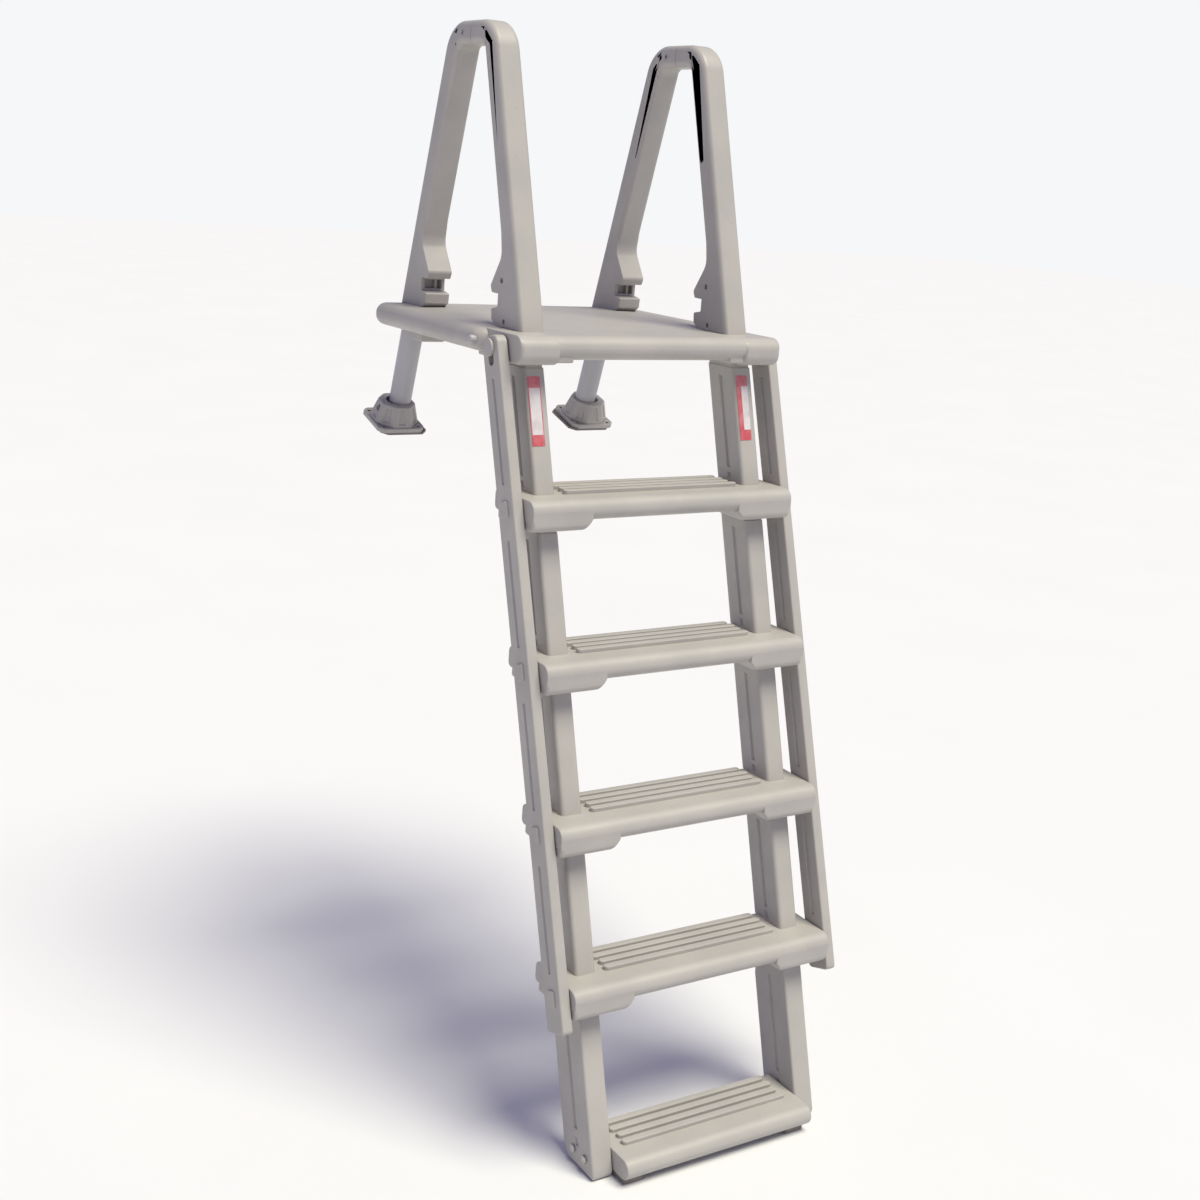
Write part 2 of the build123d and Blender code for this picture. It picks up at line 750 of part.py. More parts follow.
# ---------------------------------------------------------------- stickers
for side_name, side in sides:
    centre_z = platform_z - 85
    with BuildPart() as sticker:
        with BuildSketch(
            Plane(
                origin=(side * upright_centre - 4, face_y(centre_z), centre_z),
                x_dir=(1, 0, 0),
                z_dir=(0, -math.cos(slant), math.sin(slant)),
            )
        ):
            RectangleRounded(24, 116, 2)
        extrude(amount=0.5)
    save(sticker, "sticker_" + side_name)
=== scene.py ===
import json
import math

import bmesh
import bpy
from mathutils import Matrix, Vector

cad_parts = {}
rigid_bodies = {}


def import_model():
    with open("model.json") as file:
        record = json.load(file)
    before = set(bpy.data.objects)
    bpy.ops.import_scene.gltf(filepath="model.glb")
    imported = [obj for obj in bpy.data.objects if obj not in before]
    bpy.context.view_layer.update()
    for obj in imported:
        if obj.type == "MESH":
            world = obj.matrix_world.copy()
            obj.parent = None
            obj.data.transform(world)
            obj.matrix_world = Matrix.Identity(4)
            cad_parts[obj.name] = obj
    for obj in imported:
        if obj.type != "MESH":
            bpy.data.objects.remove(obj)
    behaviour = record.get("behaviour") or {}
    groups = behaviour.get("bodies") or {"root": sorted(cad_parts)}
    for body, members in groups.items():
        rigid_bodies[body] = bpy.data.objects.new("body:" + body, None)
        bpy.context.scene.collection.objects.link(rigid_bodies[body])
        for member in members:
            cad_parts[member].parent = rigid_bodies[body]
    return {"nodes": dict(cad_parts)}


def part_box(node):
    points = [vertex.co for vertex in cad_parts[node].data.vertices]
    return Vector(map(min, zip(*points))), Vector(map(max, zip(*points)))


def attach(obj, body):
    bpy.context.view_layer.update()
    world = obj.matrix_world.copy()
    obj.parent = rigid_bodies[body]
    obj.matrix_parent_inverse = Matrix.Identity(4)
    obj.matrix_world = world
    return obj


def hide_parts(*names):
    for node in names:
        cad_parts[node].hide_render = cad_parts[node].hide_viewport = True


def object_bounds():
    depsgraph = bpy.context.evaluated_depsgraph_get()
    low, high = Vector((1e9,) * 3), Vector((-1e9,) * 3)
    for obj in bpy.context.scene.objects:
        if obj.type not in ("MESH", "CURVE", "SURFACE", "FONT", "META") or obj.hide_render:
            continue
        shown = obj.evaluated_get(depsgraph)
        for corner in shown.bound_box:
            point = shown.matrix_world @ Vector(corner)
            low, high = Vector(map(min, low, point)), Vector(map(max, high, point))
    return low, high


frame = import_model()
cad_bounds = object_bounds()

bl_info = {
    "name": "Pool Ladder",
    "version": (1, 0, 0),
    "blender": (4, 5, 0),
    "location": "View3D > Sidebar > Ladder",
    "description": "Builds a deck-mounted pool ladder with its finishes, lights and camera",
    "category": "Object",
}

mm = 0.001
SIDES = (("left", -1), ("right", 1))
TREADS = 4

# ---------------------------------------------------------------- places read from the frame
upper_low, upper_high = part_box("tread_1")
lower_low, lower_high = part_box("tread_2")
END_BLOCK_DROP = 16 * mm
TREAD_NOSE = 42 * mm
TREAD_THICKNESS = 36 * mm
RIB_HEIGHT = 7 * mm
RAIL_SLANT = math.radians(18.1)
RISE = upper_low.z - lower_low.z
LEAN = (upper_low.y - lower_low.y) / RISE
SLANT = math.atan(LEAN)
PLATFORM_Z = upper_high.z - RIB_HEIGHT - TREAD_THICKNESS + RISE
FACE_Y = upper_low.y + TREAD_NOSE + LEAN * RISE
UPRIGHT_X = (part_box("upright_2_right")[0].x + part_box("upright_2_right")[1].x) / 2
HANDRAIL_X = (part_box("handrail_front_right")[0].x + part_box("handrail_front_right")[1].x) / 2


def face_y(z):
    """Y of the uprights' front face at height z."""
    return FACE_Y + (z - PLATFORM_Z) * LEAN


def at(y, z):
    """Side-view point in millimetres from the uprights' front face at platform level."""
    return Vector((0, FACE_Y + y * mm, PLATFORM_Z + z * mm))


def level_z(level):
    """Lower edge of a tread, or of the platform at level 0."""
    return PLATFORM_Z - level * RISE


def stud_point(level):
    """Side-view centre of a stud, on the outer rail's axis."""
    top = PLATFORM_Z + 14 * mm
    z = level_z(level) + 14 * mm
    y = face_y(top) + 15 * mm / math.cos(SLANT) + (z - top) * math.tan(RAIL_SLANT)
    return Vector((0, y, z))


# ---------------------------------------------------------------- modelling helpers
def clear_selection():
    if bpy.context.mode != "OBJECT":
        bpy.ops.object.mode_set(mode="OBJECT")
    bpy.ops.object.select_all(action="DESELECT")


def take(piece):
    """Make piece the only selected and active object."""
    clear_selection()
    piece.select_set(True)
    bpy.context.view_layer.objects.active = piece


def apply_place():
    bpy.ops.object.transform_apply(location=True, rotation=True, scale=True)


def named(name):
    piece = bpy.context.active_object
    piece.name = name
    piece.data.name = name
    apply_place()
    return piece


def block(name, low, high):
    """A box between two corners, as the start of a piece."""
    clear_selection()
    low, high = Vector(low), Vector(high)
    bpy.ops.mesh.primitive_cube_add(size=1, location=(low + high) / 2, scale=high - low)
    return named(name)


def peg(name, start, direction, radius, length, corners=32):
    """A round bar from a start point along a direction."""
    clear_selection()
    direction = Vector(direction).normalized()
    turn = direction.to_track_quat("Z", "Y").to_euler()
    middle = Vector(start) + direction * length / 2
    bpy.ops.mesh.primitive_cylinder_add(
        vertices=corners, radius=radius, depth=length, location=middle, rotation=turn
    )
    return named(name)


def edit(piece):
    take(piece)
    bpy.ops.object.mode_set(mode="EDIT")
    bpy.ops.mesh.select_all(action="DESELECT")


def leave():
    bpy.ops.object.mode_set(mode="OBJECT")


def pick(kind, test):
    """Select the vertices, edges or faces that pass a test, in edit mode."""
    bpy.ops.mesh.select_mode(type=kind)
    bpy.ops.mesh.select_all(action="DESELECT")
    mesh = bpy.context.edit_object.data
    shape = bmesh.from_edit_mesh(mesh)
    parts = {"VERT": shape.verts, "EDGE": shape.edges, "FACE": shape.faces}[kind]
    found = [part for part in parts if test(part)]
    for part in found:
        part.select_set(True)
    shape.select_flush_mode()
    bmesh.update_edit_mesh(mesh)
    return len(found)


def middle_of(edge):
    return (edge.verts[0].co + edge.verts[1].co) / 2


def runs_along(edge, direction):
    line = (edge.verts[1].co - edge.verts[0].co).normalized()
    return abs(line.dot(Vector(direction).normalized())) > 0.999


def near(value, target, reach=0.2 * mm):
    return abs(value - target) < reach


def move(offset):
    bpy.ops.transform.translate(value=offset)


def extrude(offset):
    bpy.ops.mesh.extrude_region_move(TRANSFORM_OT_translate={"value": offset})


def round_edges(size, steps):
    bpy.ops.mesh.bevel(offset=size, segments=steps, affect="EDGES", clamp_overlap=True)


def cut(point, normal):
    """Cut all the way round at a plane, keeping both sides."""
    bpy.ops.mesh.select_all(action="SELECT")
    bpy.ops.mesh.bisect(plane_co=point, plane_no=normal)


def combine(piece, other, operation, folded=False):
    """Join other into piece, or cut it out of piece, and remove it; folded resolves overlaps in piece."""
    take(piece)
    joint = piece.modifiers.new("combine", "BOOLEAN")
    joint.operation = operation
    joint.solver = "EXACT"
    joint.use_self = folded
    joint.object = other
    bpy.ops.object.modifier_apply(modifier=joint.name)
    bpy.data.objects.remove(other)


def copy_piece(piece, name, offset=(0, 0, 0), mirrored=False):
    take(piece)
    bpy.ops.object.duplicate()
    twin = bpy.context.active_object
    twin.name = name
    twin.data.name = name
    twin.location = offset
    if mirrored:
        twin.scale.x = -1
    apply_place()
    return twin


def smooth(piece, angle=35):
    """Close the mesh, turn its faces outwards and shade its flats flat and its rounds round."""
    edit(piece)
    bpy.ops.mesh.select_all(action="SELECT")
    bpy.ops.mesh.remove_doubles(threshold=0.01 * mm)
    bpy.ops.mesh.normals_make_consistent(inside=False)
    leave()
    bpy.ops.object.shade_smooth_by_angle(angle=math.radians(angle))
    even = piece.modifiers.new("even shading", "WEIGHTED_NORMAL")
    even.keep_sharp = True
    bpy.ops.object.modifier_apply(modifier=even.name)


def place(piece, body, finish, slot, *nodes):
    """Give a finished piece its material and its body, and hide the nodes it stands for."""
    piece.data.materials.clear()
    piece.data.materials.append(finish)
    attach(piece, body)
    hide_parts(*nodes)


def bar_of_sections(name, x_low, x_high, sections):
    """A bar grown section by section; each section is its outer and inner side-view point."""
    (outer, inner), (next_outer, next_inner) = sections[:2]
    piece = block(name, (x_low, 0, 0), (x_high, 1, 1))
    edit(piece)
    corners = (((0, 0), outer), ((1, 0), inner), ((0, 1), next_outer), ((1, 1), next_inner))
    goals = []
    for (y, z), goal in corners:
        start = Vector((0, y, z))
        goals.append((start, Vector((0, goal[1], goal[2])) - start))
    shape = bmesh.from_edit_mesh(piece.data)
    groups = []
    for start, offset in goals:
        group = [v.index for v in shape.verts if near(v.co.y, start.y) and near(v.co.z, start.z)]
        groups.append((group, offset))
    for group, offset in groups:
        pick("VERT", lambda v: v.index in group)
        move(offset)
    end = groups[2][0] + groups[3][0]
    outer_end, inner_end = groups[2][0], groups[3][0]
    last_outer, last_inner = next_outer, next_inner
    for outer, inner in sections[2:]:
        pick("VERT", lambda v: v.index in end)
        bpy.ops.mesh.select_mode(type="FACE")
        extrude((0, 0, 0))
        shape = bmesh.from_edit_mesh(piece.data)
        shape.verts.index_update()
        fresh = [v for v in shape.verts if v.select]
        outer_end = [v.index for v in fresh if (v.co - Vector((v.co.x, last_outer[1], last_outer[2]))).length < 0.01 * mm]
        inner_end = [v.index for v in fresh if v.index not in outer_end]
        pick("VERT", lambda v: v.index in outer_end)
        move((0, outer[1] - last_outer[1], outer[2] - last_outer[2]))
        pick("VERT", lambda v: v.index in inner_end)
        move((0, inner[1] - last_inner[1], inner[2] - last_inner[2]))
        end = outer_end + inner_end
        last_outer, last_inner = outer, inner
    bpy.ops.mesh.select_all(action="SELECT")
    bpy.ops.mesh.normals_make_consistent(inside=False)
    leave()
    return piece


# ---------------------------------------------------------------- shader groups and materials
def new_group(name, inputs, outputs):
    """A shader node group with named sockets, made once."""
    group = bpy.data.node_groups.new(name, "ShaderNodeTree")
    for label, kind, value in inputs:
        socket = group.interface.new_socket(name=label, in_out="INPUT", socket_type=kind)
        if value is not None:
            socket.default_value = value
    for label, kind in outputs:
        group.interface.new_socket(name=label, in_out="OUTPUT", socket_type=kind)
    return group, group.nodes.new("NodeGroupInput"), group.nodes.new("NodeGroupOutput")


def math_node(tree, operation, first, second=None, clamp=False):
    node = tree.nodes.new("ShaderNodeMath")
    node.operation = operation
    node.use_clamp = clamp
    for number, value in enumerate((first, second)):
        if value is None:
            continue
        if isinstance(value, (int, float)):
            node.inputs[number].default_value = value
        else:
            tree.links.new(value, node.inputs[number])
    return node.outputs[0]


def noise_node(tree, position, scale, detail=3.0, roughness=0.55):
    node = tree.nodes.new("ShaderNodeTexNoise")
    node.inputs["Detail"].default_value = detail
    node.inputs["Roughness"].default_value = roughness
    tree.links.new(position, node.inputs["Vector"])
    if isinstance(scale, (int, float)):
        node.inputs["Scale"].default_value = scale
    else:
        tree.links.new(scale, node.inputs["Scale"])
    return node.outputs["Fac"]


def mask_node(tree, value, low, high):
    node = tree.nodes.new("ShaderNodeMapRange")
    node.interpolation_type = "SMOOTHSTEP"
    node.inputs["From Min"].default_value = low
    node.inputs["From Max"].default_value = high
    tree.links.new(value, node.inputs["Value"])
    return node.outputs["Result"]


def mix_node(tree, factor, first, second):
    node = tree.nodes.new("ShaderNodeMix")
    node.data_type = "RGBA"
    tree.links.new(factor, node.inputs["Factor"])
    for socket, value in ((node.inputs["A"], first), (node.inputs["B"], second)):
        if hasattr(value, "is_output"):
            tree.links.new(value, socket)
        else:
            socket.default_value = value
    return node.outputs["Result"]


def grain_group():
    """Fine skin of a moulding: a leathery grain for the bump and slow mottling for the colour."""
    if "Moulded grain" in bpy.data.node_groups:
        return bpy.data.node_groups["Moulded grain"]
    group, start, end = new_group(
        "Moulded grain",
        (
            ("Position", "NodeSocketVector", None),
            ("Grain Scale", "NodeSocketFloat", 900.0),
            ("Mottle Scale", "NodeSocketFloat", 9.0),
        ),
        (("Height", "NodeSocketFloat"), ("Mottle", "NodeSocketFloat"), ("Speck", "NodeSocketFloat")),
    )
    fine = noise_node(group, start.outputs["Position"], start.outputs["Grain Scale"], 2.0)
    wavy = noise_node(group, start.outputs["Position"], 38.0, 2.0)
    height = math_node(group, "ADD", math_node(group, "MULTIPLY", fine, 0.35), wavy)
    mottle = mask_node(group, noise_node(group, start.outputs["Position"], start.outputs["Mottle Scale"], 4.0), 0.32, 0.7)
    speck = mask_node(group, noise_node(group, start.outputs["Position"], 260.0, 2.0), 0.66, 0.74)
    group.links.new(height, end.inputs["Height"])
    group.links.new(mottle, end.inputs["Mottle"])
    group.links.new(speck, end.inputs["Speck"])
    return group


def wear_and_shade_group():
    """Rubbed outer edges, broken up by noise, and painted shade that darkens the hollows."""
    if "Rubbed edges and hollow shade" in bpy.data.node_groups:
        return bpy.data.node_groups["Rubbed edges and hollow shade"]
    group, start, end = new_group(
        "Rubbed edges and hollow shade",
        (("Position", "NodeSocketVector", None), ("Amount", "NodeSocketFloat", 0.6)),
        (("Rubbed", "NodeSocketFloat"), ("Hollow Shade", "NodeSocketFloat")),
    )
    geometry = group.nodes.new("ShaderNodeNewGeometry")
    rounded = group.nodes.new("ShaderNodeBevel")
    rounded.samples = 4
    rounded.inputs["Radius"].default_value = 2.5 * mm
    dot = group.nodes.new("ShaderNodeVectorMath")
    dot.operation = "DOT_PRODUCT"
    group.links.new(rounded.outputs["Normal"], dot.inputs[0])
    group.links.new(geometry.outputs["Normal"], dot.inputs[1])
    edge = mask_node(group, math_node(group, "SUBTRACT", 1.0, dot.outputs["Value"]), 0.01, 0.18)
    broken = mask_node(group, noise_node(group, start.outputs["Position"], 60.0, 4.0), 0.38, 0.62)
    rubbed = math_node(group, "MULTIPLY", math_node(group, "MULTIPLY", edge, broken), start.outputs["Amount"])
    # Painted shade: ambient occlusion finds the hollows, which are then darkened where shade falls.
    occlusion = group.nodes.new("ShaderNodeAmbientOcclusion")
    occlusion.samples = 4
    occlusion.inputs["Distance"].default_value = 9 * mm
    hollow_shade = mask_node(group, math_node(group, "SUBTRACT", 1.0, occlusion.outputs["AO"]), 0.35, 0.95)
    group.links.new(rubbed, end.inputs["Rubbed"])
    group.links.new(hollow_shade, end.inputs["Hollow Shade"])
    return group


def new_material(name):
    finish = bpy.data.materials.new(name)
    finish.use_nodes = True
    tree = finish.node_tree
    shader = tree.nodes["Principled BSDF"]
    where = tree.nodes.new("ShaderNodeTexCoord").outputs["Object"]
    return finish, tree, shader, where


def add_group(tree, group, where, **values):
    node = tree.nodes.new("ShaderNodeGroup")
    node.node_tree = group
    tree.links.new(where, node.inputs["Position"])
    for label, value in values.items():
        node.inputs[label.replace("_", " ")].default_value = value
    return node


def bump(tree, shader, height, strength, distance):
    node = tree.nodes.new("ShaderNodeBump")
    node.inputs["Strength"].default_value = strength
    node.inputs["Distance"].default_value = distance
    tree.links.new(height, node.inputs["Height"])
    tree.links.new(node.outputs["Normal"], shader.inputs["Normal"])


def plastic(name, colour, shade, worn, grime_and_shade, rough, grain_scale, amount):
    """Moulded plastic: mottled colour, rubbed edges, painted shade in the hollows and a fine grain."""
    if name in bpy.data.materials:
        return bpy.data.materials[name]
    finish, tree, shader, where = new_material(name)
    grain = add_group(tree, grain_group(), where, Grain_Scale=grain_scale)
    wear_and_shade = add_group(tree, wear_and_shade_group(), where, Amount=amount)
    base = mix_node(tree, grain.outputs["Mottle"], (*colour, 1), (*shade, 1))
    base = mix_node(tree, math_node(tree, "MULTIPLY", grain.outputs["Speck"], 0.25), base, (*grime_and_shade, 1))
    base = mix_node(tree, wear_and_shade.outputs["Rubbed"], base, (*worn, 1))
    # Painted shade: the hollows found by ambient occlusion are darkened towards the grime colour.
    base = mix_node(tree, math_node(tree, "MULTIPLY", wear_and_shade.outputs["Hollow Shade"], 0.28), base, (*grime_and_shade, 1))
    tree.links.new(base, shader.inputs["Base Color"])
    gloss = math_node(tree, "ADD", math_node(tree, "MULTIPLY", grain.outputs["Mottle"], 0.10), rough)
    gloss = math_node(tree, "SUBTRACT", gloss, math_node(tree, "MULTIPLY", wear_and_shade.outputs["Rubbed"], 0.08), True)
    tree.links.new(gloss, shader.inputs["Roughness"])
    bump(tree, shader, grain.outputs["Height"], 0.22, 0.35 * mm)
    return finish


def shell_finish():
    look = bpy.context.scene.ladder_finish
    return plastic(
        "moulded shell", look.shell, look.shell_shade, look.worn_edge, look.grime_and_shade,
        look.shell_roughness, 900.0, 0.55,
    )


def pipe_finish():
    look = bpy.context.scene.ladder_finish
    return plastic(
        "smooth pipe", look.pipe, look.pipe_shade, look.worn_edge, look.grime_and_shade,
        look.shell_roughness - 0.08, 1500.0, 0.3,
    )


def sole_finish():
    look = bpy.context.scene.ladder_finish
    return plastic("rubber sole", look.sole, look.sole_shade, look.grime_and_shade, look.grime_and_shade, 0.7, 600.0, 0.5)


def steel_finish():
    """Stainless fittings, brushed and slightly stained."""
    if "stainless fitting" in bpy.data.materials:
        return bpy.data.materials["stainless fitting"]
    look = bpy.context.scene.ladder_finish
    finish, tree, shader, where = new_material("stainless fitting")
    stretch = tree.nodes.new("ShaderNodeMapping")
    stretch.inputs["Scale"].default_value = (1.0, 1.0, 14.0)
    tree.links.new(where, stretch.inputs["Vector"])
    brushed = noise_node(tree, stretch.outputs["Vector"], 420.0, 3.0)
    stain = mask_node(tree, noise_node(tree, where, 90.0), 0.4, 0.7)
    colour = mix_node(tree, stain, (*look.steel, 1), (*look.steel_stain, 1))
    tree.links.new(colour, shader.inputs["Base Color"])
    rough = math_node(tree, "ADD", math_node(tree, "MULTIPLY", brushed, 0.25), 0.18)
    tree.links.new(rough, shader.inputs["Roughness"])
    shader.inputs["Metallic"].default_value = 1.0
    bump(tree, shader, brushed, 0.12, 0.1 * mm)
    return finish


def sticker_finish():
    """Blank glossy sticker: a pale field with a coloured band at each end and round the edge."""
    if "blank sticker" in bpy.data.materials:
        return bpy.data.materials["blank sticker"]
    look = bpy.context.scene.ladder_finish
    low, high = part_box("sticker_left")
    finish, tree, shader, where = new_material("blank sticker")
    split = tree.nodes.new("ShaderNodeSeparateXYZ")
    tree.links.new(where, split.inputs[0])
    middle = (low.z + high.z) / 2
    height = math_node(tree, "ABSOLUTE", math_node(tree, "SUBTRACT", split.outputs["Z"], middle))
    band = mask_node(tree, height, 37 * mm, 37.4 * mm)
    centre_x = abs(low.x + high.x) / 2
    across = math_node(tree, "SUBTRACT", math_node(tree, "ABSOLUTE", split.outputs["X"]), centre_x)
    rim = mask_node(tree, math_node(tree, "ABSOLUTE", across), 10 * mm, 10.3 * mm)
    red = math_node(tree, "MAXIMUM", band, rim)
    fade = mask_node(tree, noise_node(tree, where, 45.0, 4.0), 0.3, 0.75)
    field = mix_node(tree, fade, (*look.sticker_field, 1), (*look.sticker_faded, 1))
    band_colour = mix_node(tree, fade, (*look.sticker_band, 1), (*look.sticker_band_faded, 1))
    tree.links.new(mix_node(tree, red, field, band_colour), shader.inputs["Base Color"])
    tree.links.new(math_node(tree, "ADD", math_node(tree, "MULTIPLY", fade, 0.2), 0.25), shader.inputs["Roughness"])
    bump(tree, shader, noise_node(tree, where, 120.0, 2.0), 0.15, 0.2 * mm)
    return finish


# ---------------------------------------------------------------- what a user would change
def length_prop(name, description, default, low=0.0, high=0.1):
    return bpy.props.FloatProperty(
        name=name, description=description, default=default, min=low, max=high,
        subtype="DISTANCE", unit="LENGTH", precision=4,
    )


def colour_prop(name, description, default):
    return bpy.props.FloatVectorProperty(
        name=name, description=description, default=default, min=0.0, max=1.0, size=3,
        subtype="COLOR",
    )


class LadderShape(bpy.types.PropertyGroup):
    """Sizes of the moulded details."""

    rail_round: length_prop("Handrail rounding", "Radius along the corners of the handrails", 12 * mm)
    upright_round: length_prop("Upright rounding", "Radius along the corners of the uprights", 7 * mm)
    tread_end_round: length_prop("Tread end rounding", "Radius round the ends of the treads", 8 * mm)
    groove_depth: length_prop("Groove depth", "Depth of the grooves in the side faces", 3.5 * mm, high=6 * mm)
    deck_crown: length_prop("Platform crown", "Rise of the platform towards its middle", 3 * mm, high=6 * mm)
    flute_depth: length_prop("Foot flute depth", "Depth of the hollows round a foot cup", 2.5 * mm, high=4 * mm)


class LadderFinish(bpy.types.PropertyGroup):
    """Colours and gloss of the finishes."""

    shell: colour_prop("Shell", "Main colour of the moulded plastic", (0.455, 0.435, 0.405))
    shell_shade: colour_prop("Shell shade", "Second colour in the plastic's mottling", (0.41, 0.395, 0.37))
    worn_edge: colour_prop("Worn edge", "Colour of rubbed edges", (0.54, 0.51, 0.47))
    # Colour of dirt specks, and also the colour that the painted shade in the hollows darkens towards.
    grime_and_shade: colour_prop("Grime and shade", "Colour of dirt in the hollows", (0.20, 0.17, 0.16))
    shell_roughness: bpy.props.FloatProperty(
        name="Shell roughness", description="Roughness of the moulded plastic", default=0.42,
        min=0.1, max=0.8, subtype="FACTOR",
    )
    pipe: colour_prop("Post", "Main colour of the deck posts", (0.46, 0.45, 0.47))
    pipe_shade: colour_prop("Post shade", "Second colour of the deck posts", (0.42, 0.41, 0.43))
    sole: colour_prop("Sole", "Main colour of the rubber soles", (0.24, 0.215, 0.195))
    sole_shade: colour_prop("Sole shade", "Second colour of the rubber soles", (0.18, 0.16, 0.145))
    steel: colour_prop("Steel", "Colour of the fittings", (0.62, 0.61, 0.60))
    steel_stain: colour_prop("Steel stain", "Colour of stains on the fittings", (0.42, 0.39, 0.36))
    sticker_field: colour_prop("Sticker field", "Pale field of the blank stickers", (0.72, 0.70, 0.70))
    sticker_faded: colour_prop("Sticker field, faded", "Faded part of the pale field", (0.58, 0.52, 0.53))
    sticker_band: colour_prop("Sticker band", "Coloured ends of the stickers", (0.56, 0.10, 0.12))
    sticker_band_faded: colour_prop("Sticker band, faded", "Faded part of the ends", (0.60, 0.24, 0.25))


class LadderStudio(bpy.types.PropertyGroup):
    """Camera, lights and floor."""

    lens: bpy.props.FloatProperty(
        name="Lens", description="Focal length of the camera", default=48.87, min=20, max=200,
        unit="CAMERA",
    )
    key_strength: bpy.props.FloatProperty(
        name="Key light", description="Strength of the main soft light", default=3.6, min=0
    )
    key_softness: bpy.props.FloatProperty(
        name="Key softness", description="Angle that the main light spreads over",
        default=math.radians(32), min=0, max=math.radians(180), subtype="ANGLE", unit="ROTATION",
    )
    key_colour: colour_prop("Key colour", "Colour of the main light", (1.0, 0.975, 0.80))
    sky_strength: bpy.props.FloatProperty(
        name="Sky strength", description="Strength of the even light all round", default=0.40, min=0
    )
    sky_colour: colour_prop("Sky colour", "Colour of the even light", (0.66, 0.64, 1.0))
    floor: colour_prop("Floor", "Colour of the floor", (0.74, 0.745, 0.76))
    backdrop: colour_prop("Backdrop", "Colour seen beyond the floor", (0.92, 0.93, 0.94))


